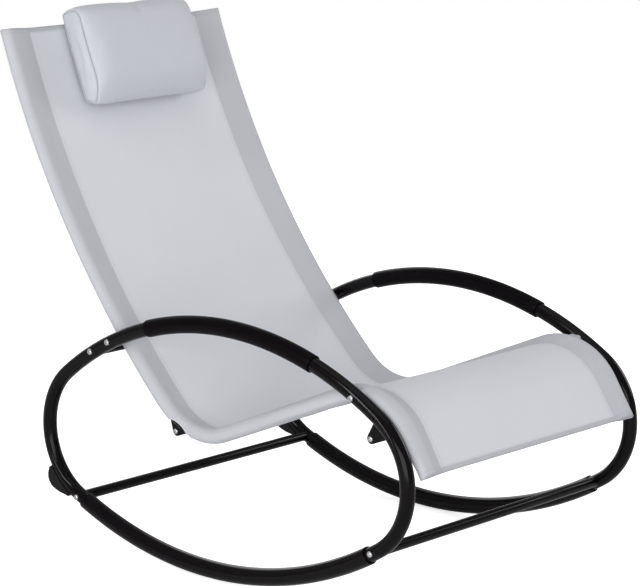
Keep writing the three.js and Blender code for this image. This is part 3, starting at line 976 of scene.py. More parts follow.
@dataclass(frozen=True)
class Weld(Coat):
    """A painted weld bead: the paint over ripples of run metal."""

    color: Triple = (0.007, 0.0065, 0.007)
    roughness: float = 0.3
    specular: float = 0.2
    relief: Pair = (0.5, 0.4 * MM)
    # how much lighter the paint is on the lumps: painted light
    lighter: float = 1.8
    lump_scale: float = 900.0

    def dress(self, book: NodeBook, place: Value) -> Look:
        """Lumps dull the paint and stand out of it; it is lighter on them, painted light on the
        tops.
        """
        lumps = book.noise(place, self.lump_scale, 3.0)
        return book.blend(lumps, self.color, tinted(self.color, self.lighter)), lumps * 0.2, lumps


@dataclass(frozen=True)
class Cloth(Coat):
    """Woven cloth of coated yarns that cross over and under on the cloth's own map.

    Each yarn is a rounded ridge, the size of a sine across it. The sign of the product of the
    two sines tells which of warp and weft is on top, and so alternates at each crossing. The
    weave's valleys, doubled cloth and creases are painted darker as shade, and thick yarns
    show as slubs.
    """

    roughness: float = 0.82
    specular: float = 0.3
    sheen: float = 0.08
    relief: Pair = (0.25, 0.35 * MM)
    yarn: float = 1.1 * MM
    crossing: float = 0.35
    # share of the colour in the weave's valleys: painted shade between the yarns
    valley_shade: float = 0.8
    # share of the colour where the cloth is doubled: painted shade
    folded: float = 0.63
    # share of the colour in creases: painted shade
    shaded_crease: float = 0.55
    drift_scale: float = 5.0
    slub_scale: Sequence[float] = (40.0, 900.0, 40.0)

    def dress(self, book: NodeBook, place: Value) -> Look:
        """Adds up the weave, slow drifts of tone and slubs; paints shade in valleys, folds and
        creases.
        """
        warp, weft = ((way * (math.pi / self.yarn)).sine() for way in book.cloth())
        top = (warp * weft).ramp(-self.crossing, self.crossing)
        height = abs(warp) * top + abs(weft) * (1 - top)
        drift = book.noise(place, self.drift_scale, 3.0)
        slub = book.noise(book.stretched(place, self.slub_scale), 1.0)
        # the weave's height paints shade in its valleys; drifts and slubs are the cloth's own tone
        tone = height * 0.6 + drift * 0.3 + slub * 0.2
        base = book.blend(tone, tinted(self.color, self.valley_shade), self.color)
        # painted shade where the cloth is doubled
        base = book.blend(book.mark("doubled_shade"), base, tinted(self.color, self.folded))
        # painted shade in creases, at seams and at hem folds
        base = book.blend(book.mark("crease_shade") * 0.6, base, tinted(self.color, self.shaded_crease))
        return base, height * -0.14, height + drift * 0.4


@dataclass(frozen=True)
class Thread(Coat):
    """Sewing thread: twisted strands."""

    color: Triple = (0.62, 0.635, 0.68)
    roughness: float = 0.6
    # colour in the twist's grooves: painted shade
    darker: float = 0.7
    twist_scale: float = 1400.0

    def dress(self, book: NodeBook, place: Value) -> Look:
        """The strands' twist dulls and dents the thread and darkens its grooves as painted shade.
        """
        twist = book.noise(place, self.twist_scale, 1.0)
        return book.blend(twist, tinted(self.color, self.darker), self.color), twist * 0.15, twist


@dataclass(frozen=True)
class Tape(Coat):
    """Hook and loop tape: a dense pile of tiny loops."""

    color: Triple = (0.32, 0.33, 0.35)
    roughness: float = 0.85
    relief: Pair = (0.6, 0.4 * MM)
    # colour of the ground between the loops: painted shade
    darker: float = 0.5
    pile_scale: float = 1300.0
    drift_scale: float = 60.0

    def dress(self, book: NodeBook, place: Value) -> Look:
        """Each loop of the pile is a bump in a ground painted darker as shade, and drifts vary the
        tone.
        """
        pile, drift = book.pebbles(place, self.pile_scale), book.noise(place, self.drift_scale, 3.0)
        tone = book.blend(pile + drift * 0.4, tinted(self.color, self.darker), self.color)
        return tone, pile * 0.1, pile


class Finish(Enum):
    """The chair's finishes, each with the record's slot that it belongs to."""

    PAINT = ("frame_paint", Paint())
    WELD = ("frame_paint", Weld())
    GRIP = ("grip_plastic", Moulding())
    RUBBER = ("pad_rubber", Rubber())
    ZINC = ("zinc", Zinc())
    SLING = ("sling_cloth", Cloth((0.75, 0.765, 0.815)))
    PILLOW = ("pillow_cloth", Cloth((0.63, 0.645, 0.7), relief=(0.18, 0.35 * MM)))
    THREAD = ("sling_cloth", Thread())
    TAPE = ("fastener_tape", Tape())


class Workshop:
    """Makes each finish once and hangs finished pieces on the frame."""

    def __init__(self) -> None:
        """Starts with nothing made."""
        self._made: dict[Finish, bpy.types.Material] = {}

    def material(self, finish: Finish) -> bpy.types.Material:
        """The material of a finish, made on first use."""
        if finish not in self._made:
            self._made[finish] = finish.value[1].build(f"{finish.name.lower()}_finish")
        return self._made[finish]

    def hang(self, name: str, mesh: bpy.types.Mesh, finish: Finish, nodes: Iterable[str] = (),
             body: str = "chair") -> bpy.types.Object:
        """Makes a piece of a mesh that is already in place, and lets it ride on a body.

        Args:
            name: The piece's name.
            mesh: Its mesh.
            finish: Its finish.
            nodes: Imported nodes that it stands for.
            body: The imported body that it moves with.

        Returns:
            The piece's object.
        """
        piece = put(name, mesh)
        mesh.materials.append(self.material(finish))
        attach(piece, body)
        if nodes:
            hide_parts(*nodes)
        LOG.info("%s: %d faces", name, len(mesh.polygons))
        return piece

    def craft(self, name: str, skins: Sequence[Skin], finish: Finish, nodes: Iterable[str] = (),
              body: str = "chair", floor: Optional[float] = None) -> bpy.types.Object:
        """Knits skins, kept above a floor, and hangs them as a piece."""
        return self.hang(name, knit(name, skins, floor), finish, nodes, body)


WORKSHOP = Workshop()


# Frame

@dataclass
class SideLoops:
    """The two oval loops with their rockers, arm grips and stop pads.

    The pads' shares are (share of the pad's length, share of its full rise).
    """

    sizes: ChairSizes = SIZES
    sides: int = 40
    pitch: float = 5 * MM
    tube_ease: float = 0.4 * MM
    ease: float = 1.1 * MM
    pad_width: float = 25 * MM
    pad_gap: float = 5.3
    pad_span: float = 27.0
    pad_rise: float = 19 * MM
    pad_ribs: int = 7
    pad_groove: float = 0.7 * MM
    pad_edge: float = 2 * MM
    pad_thin: float = 4 * MM
    pad_floor: float = 6 * MM
    pad_shares: tuple = ((0, 0.03), (0.11, 0.2), (0.33, 0.61), (0.59, 1), (0.78, 0.91),
                         (0.93, 0.5), (1, 0.03))

    def __post_init__(self) -> None:
        """Lays out the loop's, rocker's and grip's lines."""
        s = self.sizes
        tail, end = s.rocker_half - s.tail, 180 - s.rocker_join - s.arm_join
        short = s.rocker_join - tail
        self.line = BentPath(polar(s.rocker_centre, s.rocker_radius, -tail), 180 - tail)
        self.line.arc(s.rocker_radius, -short).arc(s.end_radius, -end)
        self.line.arc(s.arm_radius, -2 * s.arm_join)
        self.line.arc(s.end_radius, -end).arc(s.rocker_radius, -short)
        start = polar(s.rocker_centre, s.rocker_radius, -s.rocker_half)
        self.rocker = BentPath(start, -s.rocker_half).arc(s.rocker_radius, 2 * s.rocker_half)
        self.arm = BentPath(polar(s.arm_centre, s.arm_radius, s.grip_rear - 180), s.grip_rear)
        self.arm.arc(s.arm_radius, -s.grip_rear - s.grip_front)

    def build(self) -> None:
        """Makes and hangs the pieces of both sides."""
        s = self.sizes
        tube, sleeve = s.tube / 2, s.tube / 2 + s.sleeve_play
        walls = (("loop", "loop_tube", self.line, (tube, tube - s.tube_wall, self.tube_ease),
                  Finish.PAINT, None),
                 ("rocker", "rocker_tube", self.rocker, (s.rocker_tube / 2, sleeve, self.ease),
                  Finish.PAINT, 0.0),
                 ("arm_sleeve", "arm_grip", self.arm, (s.grip / 2, sleeve, self.ease),
                  Finish.GRIP, None))
        for hand, side in HANDS:
            y = side * s.loop_y
            for part, node, path, wall, finish, floor in walls:
                outline = wall_outline(path.length, *wall, self.pitch)
                WORKSHOP.craft(f"{hand}_{part}", [tube_skin(path, *outline, self.sides, y)],
                               finish, [f"{hand}_{node}"], floor=floor)
            WORKSHOP.craft(f"{hand}_ribbed_pad", [self.pad(y)], Finish.RUBBER,
                           [f"{hand}_stop_pad"])

    def pad(self, y: float) -> Skin:
        """A stop pad: its height swells along the loop, and its face carries lengthwise ribs.

        The rise is an eased curve through the shares of the full rise. Across the face the
        height falls off at the edges as a quarter circle and dips at each groove as a cosine.
        The underside is the loop's own circle.

        Args:
            y: Place across of the pad's middle.

        Returns:
            The pad's skin.
        """
        s = self.sizes
        along = np.linspace(0, 1, 61)
        rise = evened(np.interp(along, *np.array(self.pad_shares).T), 3) * self.pad_rise
        half = self.pad_width / 2
        across = np.linspace(-half, half, 85)
        edge = share_of(np.abs(across) - half + self.pad_edge, self.pad_edge)
        round_off = self.pad_edge * (1 - np.sqrt(1 - edge ** 2))
        ribs = np.cos(2 * math.pi * self.pad_ribs * across / self.pad_width)
        groove = self.pad_groove * (0.5 + 0.5 * ribs) * (edge == 0)
        swell = share_of(rise, self.pad_thin)[:, None]
        top = s.tube / 2 + rise[:, None] - swell * (round_off + groove)
        under = np.linspace(half, -half, 31)
        bore = (s.tube / 2 + s.play) ** 2 - under ** 2
        cradle = np.sqrt(np.maximum(bore, self.pad_floor ** 2))
        height = np.hstack([top, np.broadcast_to(cradle, (len(along), len(under)))])
        place = y + np.broadcast_to(np.concatenate([across, under]), height.shape)
        angle = -(s.rocker_join + self.pad_gap + self.pad_span * along)[:, None]
        flat = polar(np.array([-s.half_ends, 0.0]), s.end_radius + height, angle)
        return Skin(np.stack([flat[..., 0], place, flat[..., 1]], -1), caps=True, sharp=50)


@dataclass(frozen=True)
class Bracket:
    """A flat plate welded to a rail's bend, seen from the side.

    Its foot spans some angles about the bend's centre, on the outside of the bend for a way of
    1 and on the inside for -1. Its other end is rounded about the boss.
    """

    part: str
    centre: Array
    radius: float
    way: int
    span: Array
    boss: Array
    hole: Array
    hole_radius: float


@dataclass
class Rails:
    """The two bent rails with their end caps, brackets, weld beads and spacers."""

    loops: SideLoops
    sizes: ChairSizes = SIZES
    sides: int = 32
    pitch: float = 5 * MM
    ease: float = 0.3 * MM
    plug: float = 9.8 * MM
    plug_length: float = 12 * MM
    cap_edge: float = 0.4 * MM
    cap_rim: float = 2.2 * MM
    cap_dome: float = 1.6 * MM
    cap_turn: float = 1.45
    boss: float = 9 * MM
    bevel: float = 0.5 * MM
    lug_half: float = 12.5
    lug_hole: float = 3.35 * MM
    gusset_ends: Pair = (22.8, 57.6)
    spare_place: Pair = (39.3, 57.2 * MM)
    spare_hole: float = 2.6 * MM
    weld: float = 1.5 * MM
    weld_ripple: float = 0.25 * MM
    weld_step: float = 2.4 * MM
    weld_sunk: float = 0.5 * MM
    weld_beside: float = 0.6 * MM
    spacer: float = 15 * MM

    def __post_init__(self) -> None:
        """Lays out the rail's line and finds where it crosses the loop's."""
        s = self.sizes
        turn = math.degrees(s.back_length / s.back_radius)
        centre = polar(s.hip, s.hip_radius - s.back_radius, -s.back_slope)
        top = -s.back_slope - turn
        self.line = BentPath(polar(centre, s.back_radius, top), top).arc(s.back_radius, turn)
        self.line.arc(s.hip_radius, s.back_slope + s.seat_slope).line(s.seat_length)
        self.line.arc(s.knee_radius, -s.seat_slope - s.front_slope).line(s.front_length)
        self.crossings = crossings(self.line, self.loops.line)

    def build(self) -> None:
        """Makes and hangs the pieces of both sides."""
        s = self.sizes
        length, radius = self.line.length, s.rail / 2
        wall = wall_outline(length, radius, radius - s.rail_wall, self.ease, self.pitch)
        for hand, side in HANDS:
            y = side * s.rail_y
            WORKSHOP.craft(f"{hand}_rail", [tube_skin(self.line, *wall, self.sides, y)],
                           Finish.PAINT, [f"{hand}_seat_rail"])
            for end, distance, sense in (("top", 0.0, -1.0), ("front", length, 1.0)):
                spindle = Spindle.along(self.line, distance, y, sense)
                WORKSHOP.craft(f"{hand}_{end}_plug", [spindle.turn(self.cap(), self.sides)],
                               Finish.GRIP, [f"{hand}_{end}_rail_cap"])
            self._brackets(hand, y)
            self._spacers(hand, side)

    def cap(self) -> list[Pair]:
        """Outline of a rail's end cap, as (radius, height): a plug, a flange and a dome.

        The dome is a quarter of an oval: the radius times a cosine, and a rise times a sine.
        """
        radius, play, edge = self.sizes.rail / 2, self.sizes.play, self.cap_edge
        plug = [(self.plug - 0.3 * MM, -self.plug_length), (self.plug, MM - self.plug_length),
                (self.plug, play)]
        flange = [(radius - edge, play), (radius, play + edge), (radius, self.cap_rim)]
        return plug + flange + [(radius * math.cos(t), self.cap_rim + self.cap_dome * math.sin(t))
                                for t in np.linspace(0, self.cap_turn, 9)[1:]]

    def _brackets(self, hand: str, y: float) -> None:
        """Makes a side's lug under the hip bend, gusset in the knee bend and their weld beads."""
        s = self.sizes
        lug = np.linspace(-s.lug_angle - self.lug_half, -s.lug_angle + self.lug_half, 9)
        gusset = 180 - np.linspace(*self.gusset_ends, 17)
        spare = polar(s.knee, s.knee_radius - self.spare_place[1], 180 - self.spare_place[0])
        for job in (Bracket("bend_lug", np.array(s.hip), s.hip_radius, 1, lug,
                            s.bend_bolt, s.bend_bolt, self.lug_hole),
                    Bracket("front_gusset", s.knee, s.knee_radius, -1, gusset,
                            s.knee_bolt, spare, self.spare_hole)):
            WORKSHOP.craft(f"{hand}_{job.part}_plate", [self.plate(job, y)], Finish.PAINT,
                           [f"{hand}_{job.part}"])
            WORKSHOP.craft(f"{hand}_{job.part}_welds",
                           [self.bead(job, y, face) for face in (-1, 1)], Finish.WELD)

    def plate(self, job: Bracket, y: float) -> Skin:
        """A bracket's plate with eased edges: its outline is its foot and its boss's tangents.

        The outline is read as a radius at each angle round the hole, and the plate is a ring
        between the hole's circle and that radius.

        Args:
            job: The bracket.
            y: Place across of the plate's middle.

        Returns:
            The plate's skin.
        """
        foot = polar(job.centre, job.radius + job.way * self.sizes.rail / 4, job.span)
        offset = convex_outline(foot, job.boss + self.boss * cos_sin(circle(90))) - job.hole
        angle, reach = np.arctan2(offset[:, 1], offset[:, 0]), np.linalg.norm(offset, axis=1)
        order = angle.argsort()
        turn = circle(160) - math.pi
        outer = np.interp(turn, angle[order], reach[order], period=2 * math.pi)
        half, b = self.sizes.plate / 2, self.bevel
        bore = np.full(turn.shape, job.hole_radius)
        radius = np.stack([outer - b, outer, outer, outer - b, bore, bore])
        level = np.array([half, half - b, b - half, -half, -half, half])[:, None]
        return Skin(ring_grid(job.hole, radius, turn, y + level), wrap_rows=True, sharp=25)

    def bead(self, job: Bracket, y: float, face: int) -> Skin:
        """A weld bead along a bracket's foot: a strand whose radius ripples as a sine along it.

        Args:
            job: The bracket.
            y: Place across of the plate's middle.
            face: The plate's face that it lies on, -1 or 1.

        Returns:
            The bead's skin.
        """
        seat = job.radius + job.way * (self.sizes.rail / 2 - self.weld_sunk)
        flat = polar(job.centre, seat, np.linspace(job.span[0], job.span[-1], 90))
        beside = y + face * (self.sizes.plate / 2 + self.weld_beside)
        points = np.insert(flat, 1, beside, axis=1)
        step = np.arange(len(points))
        length = job.radius * math.radians(abs(job.span[-1] - job.span[0]))
        ripple = np.sin(2 * math.pi * step * length / len(points) / self.weld_step)
        ends = np.clip(np.minimum(step, step[::-1]) / 6, 0.3, 1)
        return rope_skin(points, (self.weld + self.weld_ripple * ripple) * ends, 10, False)

    def _spacers(self, hand: str, side: float) -> None:
        """Makes a side's spacers, whose two ends are shaped to the rail and the loop."""
        s = self.sizes
        turn, radius = circle(self.sides), self.spacer / 2
        share = np.linspace(0, 1, 7)[:, None]
        for end, (on_rail, on_loop) in zip(("rear", "front"), self.crossings):
            place, heading = self.line.at(on_rail)
            loop_heading = self.loops.line.at(on_loop)[1]
            start = s.rail_y + saddle(radius, turn, heading, s.rail / 2 + s.play)
            stop = s.loop_y - saddle(radius, turn, loop_heading, s.tube / 2 + s.play)
            grid = ring_grid(place, radius, turn, side * (start + (stop - start) * share))
            WORKSHOP.craft(f"{hand}_{end}_distance_piece", [Skin(grid, caps=True)],
                           Finish.GRIP, [f"{hand}_{end}_spacer"])


def saddle(radius: float, turn: Array, heading: float, tube: float) -> Array:
    """Height of a tube's round under the rim of a rod that stands square on its line.

    It is the root of the tube's radius squared less the rim's distance beside the line squared.

    Args:
        radius: Radius of the rod.
        turn: Angles round its rim, in radians.
        heading: Direction of the tube's line.
        tube: Radius of the tube.

    Returns:
        The height across at each angle.
    """
    beside = radius * cos_sin(turn) @ np.array([math.sin(heading), -math.cos(heading)])
    return np.sqrt(np.maximum(tube ** 2 - beside ** 2, 0))


def convex_outline(foot: Array, boss: Array, count: int = 400) -> Array:
    """The outline round a foot and a boss: the foot's own points and the hull of the rest.

    Args:
        foot: Points of the edge that is welded on, which stay in the outline.
        boss: Points of the rounded end.
        count: Points wanted.

    Returns:
        Points spaced equally along the outline.
    """
    order = sorted(map(tuple, np.vstack([foot[[0, -1]], boss])))
    hull: list[Pair] = []
    for sweep in (order, order[::-1]):
        start = len(hull)
        for p in sweep:
            while len(hull) >= start + 2 and turn_of(hull[-2], hull[-1], p) <= 0:
                hull.pop()
            hull.append(p)
        hull.pop()
    ring = np.array(hull)
    ring = np.roll(ring, -np.linalg.norm(ring - foot[0], axis=1).argmin(), 0)
    if np.linalg.norm(ring[1] - foot[-1]) > 1e-9:
        ring = np.roll(ring[::-1], 1, 0)
    return even_ring(np.vstack([foot, ring[2:]]), count)


def turn_of(a: Sequence[float], b: Sequence[float], c: Sequence[float]) -> float:
    """Twice the area of the triangle of three points, positive when they turn to the left."""
    return (b[0] - a[0]) * (c[1] - a[1]) - (b[1] - a[1]) * (c[0] - a[0])


@dataclass
class CrossBars:
    """The five bars that join the two sides."""

    sizes: ChairSizes = SIZES
    sides: int = 28
    edge: float = 0.6 * MM

    def build(self) -> None:
        """Makes and hangs the bars: three coped to the loops, two between the brackets."""
        s = self.sizes
        low = s.rocker_join - s.low_bolt_short
        for node, place, heading in (("rear_low_bar", s.rear_low, -low),
                                     ("front_low_bar", s.front_low, low),
                                     ("back_bar", s.arm_bar, s.back_bar)):
            WORKSHOP.craft(f"{node}_tube", [self.coped(place, math.radians(heading))],
                           Finish.PAINT, [node])
        end, r, e = s.rail_y - s.plate / 2 - s.play, s.bar / 2, self.edge
        outline = [(r - e, -end), (r, e - end), (r, 0), (r, end - e), (r - e, end)]
        for node, place in (("bend_spreader_bar", s.bend_bolt),
                            ("front_spreader_bar", s.knee_bolt)):
            skin = Spindle.across(place, 0, 1).turn(outline, self.sides)
            WORKSHOP.craft(f"{node}_tube", [skin], Finish.PAINT, [node])

    def coped(self, place: Array, heading: float) -> Skin:
        """A bar whose ends are cut to the loops' round: each line ends at the tube's saddle.

        Args:
            place: The bar's middle line in the side view.
            heading: Direction of the loop's tube there.

        Returns:
            The bar's skin.
        """
        s = self.sizes
        turn, radius = circle(self.sides), s.bar / 2
        end = s.loop_y - saddle(radius, turn, heading, s.tube / 2 + s.play / 3)
        y = end * np.linspace(-1, 1, 9)[:, None]
        return Skin(ring_grid(place, radius, turn, y), caps=True)


@dataclass
class Bolts:
    """The zinc button-head bolts, with hexagon sockets."""

    rails: Rails
    sizes: ChairSizes = SIZES
    shank: float = 3 * MM
    end_bevel: float = 0.5 * MM
    head: float = 5.2 * MM
    rim: float = 1.1 * MM
    rise: float = 3.6 * MM
    dome: float = 0.46 * math.pi
    lip: float = 1.32
    flat: float = 2 * MM
    depth: float = 2 * MM
    grip: float = 7 * MM
    sides: int = 48

    def outline(self, length: float) -> list[tuple]:
        """Outline from the shank's end over the domed head into the socket.

        The dome is part of an oval from the rim up to the socket's lip: the radius goes with a
        cosine and the height with a sine.

        Args:
            length: Length of the shank.

        Returns:
            Points as (radius, height), with a hexagon share of 1 in the socket.
        """
        lip, bevel = self.flat * self.lip, self.end_bevel
        floor = self.rise - self.depth
        shank = [(self.shank - bevel, -length), (self.shank, bevel - length), (self.shank, 0)]
        dome = [(lip + (self.head - lip) * math.cos(t),
                 self.rim + (self.rise - self.rim) * math.sin(t))
                for t in np.linspace(0, self.dome, 9)]
        socket = [(self.flat, self.rise - 0.1 * MM, 1), (self.flat * 0.95, self.rise - 0.5 * MM, 1),
                  (self.flat * 0.93, floor, 1), (0.3 * MM, floor, 1)]
        return [*shank, (self.head, 0), *dome, *socket]

    def build(self) -> None:
        """Makes and hangs the bolts of both sides."""
        s = self.sizes
        rear, front = (self.rails.line.at(pair[0])[0] for pair in self.rails.crossings)
        to_bar = s.tube + 2 * s.play + self.grip
        to_rail = s.loop_outboard + s.rail_wall + self.grip
        to_spreader = s.plate + 2 * s.play + self.grip
        on_loop, on_plate = s.loop_y + s.tube / 2 + s.play, s.rail_y + s.plate / 2 + s.play
        jobs = (("rear_low", s.rear_low, on_loop, to_bar),
                ("front_low", s.front_low, on_loop, to_bar),
                ("back_bar", s.arm_bar, on_loop, to_bar), ("rear_rail", rear, on_loop, to_rail),
                ("front_rail", front, on_loop, to_rail),
                ("bend_lug", s.bend_bolt, on_plate, to_spreader),
                ("front_gusset", s.knee_bolt, on_plate, to_spreader))
        for hand, side in HANDS:
            for job, place, y, length in jobs:
                skin = Spindle.across(place, side * y, side).turn(self.outline(length), self.sides)
                WORKSHOP.craft(f"{hand}_{job}_button_bolt", [skin], Finish.ZINC,
                               [f"{hand}_{job}_bolt"])


# Sling

@dataclass(frozen=True)
class Wave:
    """A sine along the rail that slants across the cloth, in metres."""

    height: float
    length: float
    slant: float = 0.0

    def at(self, distance: Array, across: Reals = 0.0) -> Array:
        """Height times the sine of a turn for each length, led by the slant times across."""
        return self.height * np.sin(distance * 2 * math.pi / self.length + self.slant * across)


@dataclass
class Sling:
    """The sewn sling: one sheet whose sides are folded round the rails into sleeves.

    A place on it is a distance along the rail and a distance across the cloth from its middle,
    over the seam, up the sleeve, round the rail and back under to the flap behind the seam. The
    tables give a size in millimetres at distances along the rail in metres. The collar's rings
    are (outward of the rail, radius) in millimetres.
    """

    rails: Rails
    sizes: ChairSizes = SIZES
    pitch: float = 6 * MM
    thickness: float = 0.9 * MM
    packed_thickness: float = 1.2 * MM
    sleeve: float = 58 * MM
    flap: float = 11 * MM
    overhang: float = 8 * MM
    hem: float = 8 * MM
    hem_rise: float = 0.55 * MM
    hem_step: float = 1.2 * MM
    ear: float = 2.2 * MM
    ear_width: float = 7 * MM
    ear_reach: float = 9 * MM
    sag: float = 2.4 * MM
    sag_ends: float = 80 * MM
    bend_ahead: float = 70 * MM
    hip_reach: float = 90 * MM
    knee_reach: float = 80 * MM
    seam_shift: tuple = ((0, -4), (0.35, -2), (0.7, 5), (0.85, 6), (1.1, 7), (1.25, 13), (1.45, 18))
    spread: tuple = ((0.97, 0), (1.05, 7), (1.15, 8), (1.45, 9))
    spread_turn: float = 62.0
    far_spread: float = 0.2
    slack: tuple = ((0.5, 0), (0.7, 2), (0.78, 2.5), (0.9, 2.5), (1.0, 3.5), (1.08, 4), (1.2, 6),
                    (1.34, 6), (1.41, 0))
    slack_turns: Pair = (45.0, 95.0)
    slack_waves: tuple[Wave, ...] = (Wave(0.35 * MM, 61 * MM, 90), Wave(0.5 * MM, 173 * MM))
    bend_wave: Wave = Wave(1 * MM, 34 * MM, 60)
    front_wave: Wave = Wave(0.12, 83 * MM)
    front_start: float = 1.05
    pucker: Wave = Wave(0.16 * MM, 21 * MM)
    pucker_swell: Wave = Wave(1, 130 * MM)
    pucker_reach: float = 14 * MM
    notch: float = 66 * MM
    notch_shift: float = 5.5 * MM
    notch_centre: float = 64 * MM
    notch_inboard: float = 13 * MM
    notch_top: float = 9.0
    notch_give: float = 90 * MM
    notch_taut: float = 36 * MM
    binding: float = 1.15 * MM
    stitch: float = 3.4 * MM
    stitch_gap: float = 1.2 * MM
    stitch_thick: float = 0.7 * MM
    stitch_lift: float = 0.12 * MM
    seam_rows: tuple[float, ...] = (-2 * MM, -7 * MM)
    hem_row: float = 6.4 * MM
    # strength of the painted shade where the cloth is doubled
    doubled_shade: float = 0.75
    collar: tuple = ((11, 12.4), (13.5, 11.2), (17, 10), (20, 9.3), (22, 8.9))
    collar_mouth: float = 8.6 * MM

    def __post_init__(self) -> None:
        """Works out the folded section and where the notches fall.

        The section is kept as tables of place across, height off the rail's line and the give
        of slack and spread, all by the distance across the flat cloth.
        """
        s = self.sizes
        self.round = s.rail / 2 + s.sleeve_play + self.thickness / 2
        self.seam = s.rail_y + s.rail / 2 + s.sleeve_play + self.packed_thickness - self.sleeve
        lean = math.asin(self.round / (s.rail_y - self.seam))
        under = 1.1 * self.thickness
        self.foot = s.rail_y - self.round * math.sin(lean)
        turn = np.linspace(math.pi / 2 + lean, -math.pi / 2 - lean, 400)
        y = np.concatenate([[0, self.seam], s.rail_y + self.round * np.cos(turn),
                            [self.seam, self.seam - self.flap]])
        n = np.concatenate([[0, 0], -self.round * np.sin(turn), [under, under]])
        self.table_y, self.table_n = y, n
        start, span = np.radians(self.slack_turns)
        loose = eased((start - turn) / span)
        self.slack_y = np.pad(np.cos(turn) * loose, 2)
        self.slack_n = np.pad(-np.sin(turn) * loose, 2)
        wide = (math.pi / 2 - np.abs(turn)) / math.radians(self.spread_turn)
        self.spread_y = np.pad(eased(wide), 2)
        self.table_s = np.concatenate([[0], np.cumsum(np.hypot(np.diff(y), np.diff(n)))])
        self.arc = (self.table_s[2], self.table_s[-3])
        self.under_seam, self.half = float(self.table_s[-2]), float(self.table_s[-1])
        notch_turn = math.pi / 2 + lean - math.radians(self.notch_top)
        fall = (self.foot - s.rail_y + self.notch_inboard) / (self.foot - self.seam)
        self.notch_span = (self.arc[0] + self.round * notch_turn,
                           self.arc[1] + fall * (self.under_seam - self.arc[1]))
        to_lug = s.hip_radius * math.radians(s.back_slope - s.lug_angle)
        self.notch_middle = self.rails.line.mark(1) + to_lug + self.notch_shift

    def columns(self) -> Array:
        """Distances across half the cloth: closer at the seam, round the rail and at the notch."""
        inner, outer = self.notch_span
        first, last = self.arc
        beside = np.array([0, 1.5, 3, 5, 8]) * MM
        runs = (np.linspace(0, self.seam - 12 * MM, 22), self.seam - beside, self.seam + beside,
                np.linspace(self.seam + 12 * MM, first, 9), np.linspace(first, inner, 8),
                np.linspace(inner, last, 18), np.linspace(last, outer, 4),
                np.linspace(outer, self.under_seam, 8), [self.half - self.flap / 2, self.half])
        return np.unique(np.round(np.concatenate(runs), 6))

    def notch_reach(self, across: Array) -> tuple[Array, float]:
        """Half-length of the notch at distances across, from the cosine rule about the hip.

        The notch is a circle round the lug's bolt. Outside the notch's own span the reach eases
        to the widest one, so that the rows of the cloth run on evenly.

        Args:
            across: Distances across the cloth.

        Returns:
            The reach at each distance, and the widest one.
        """
        s = self.sizes
        radius = s.hip_radius + np.interp(across, self.table_s, self.table_n)
        bolt = s.hip_radius + self.notch_centre
        cosine = (radius ** 2 + bolt ** 2 - self.notch ** 2) / (2 * radius * bolt)
        reach = s.hip_radius * np.arccos(np.clip(cosine, -1, 1))
        start, stop = self.notch_span
        first, widest = (float(np.interp(edge, across, reach)) for edge in (start, stop))
        before = first + (widest - first) * share_of(start - across, 24 * MM) ** 0.7
        return np.where(across < start, before, np.where(across > stop, widest, reach)), widest

    def ease(self, distance: Array, across: Array) -> Array:
        """How far the cloth lies off its plain section.

        The open sheet sags as one less the square of the share across. Hems stand up by a
        step. Slack in the sleeves and puckers at the seams are sums of waves along the rail,
        times a bow across the sleeve or a fall-off from the seam.

        Args:
            distance: Distances along the rail.
            across: Distances across the cloth.

        Returns:
            The offset of each place, positive behind the cloth.
        """
        line = self.rails.line
        size = np.abs(across)
        hip = hill(distance - line.mark(1) - self.bend_ahead, self.hip_reach)
        knee = hill(distance - line.mark(3) - self.bend_ahead, self.knee_reach)
        ends = share_of(np.minimum(distance, line.length - distance), self.sag_ends)
        sag = self.sag * np.clip(1 - (size / self.seam) ** 2, 0, 1) * ends
        sag = sag * (1 + 0.5 * hip - 0.6 * knee)
        sleeve = self.arc[0] - self.seam
        edge = np.minimum(distance, line.length - distance) + self.overhang
        hem = share_of(edge - self.hem, self.hem_step) * (size < self.arc[0]) - 1
        bow = np.sin(math.pi * share_of(size - self.seam, sleeve)) ** 2
        slack = sum(wave.at(distance, size) for wave in self.slack_waves)
        slack = slack + (1.5 * hip + 0.9 * knee) * self.bend_wave.at(distance, size)
        fall = np.exp((size - self.seam) / self.pucker_reach) * (size < self.seam)
        pucker = fall * self.pucker.at(distance) * self.pucker_swell.at(distance)
        return sag + hem * self.hem_rise + bow * slack + pucker

    def spot(self, distance: Array, across: Array, above: float = 0.0) -> Array:
        """Places of the cloth in the chair's view.

        The seam shifts across, and the sleeve hangs slack behind the rail and spreads beside
        it, each by its table. Where the cloth is drawn tight round the rail it doesn't ease.

        Args:
            distance: Distances along the rail.
            across: Distances across the cloth, negative on the right.
            above: Height off the cloth's middle layer.

        Returns:
            Points as (..., 3).
        """
        def along(table: tuple) -> Array:
            """Reads a table at the distances along the rail."""
            return np.interp(distance, *np.array(table).T) * MM

        def section(table: Array) -> Array:
            """Reads a table at the distances across the cloth."""
            return np.interp(size, self.table_s, table)

        distance, across = np.broadcast_arrays(distance, across)
        size = np.abs(across)
        y, n = section(self.table_y), section(self.table_n)
        near_seam = np.minimum(y / self.seam, (self.foot - y) / (self.foot - self.seam))
        front = share_of(distance - self.front_start, 100 * MM) * self.front_wave.at(distance)
        taut = 0.9 * hill(distance - self.notch_middle, self.notch_taut)
        loose = along(self.slack) * (1 + front) * (1 - taut)
        spread = along(self.spread) * section(self.spread_y)
        y = y + along(self.seam_shift) * np.clip(near_seam, 0, 1) + loose * section(self.slack_y)
        y = y + spread * np.where(across < 0, 1, self.far_spread)
        n = n + loose * section(self.slack_n)
        free = (size <= self.arc[0]) | (size > self.under_seam)
        n = n + self.ease(distance, across) * free - above
        return self.rails.line.lift(distance, n, np.sign(across) * y)

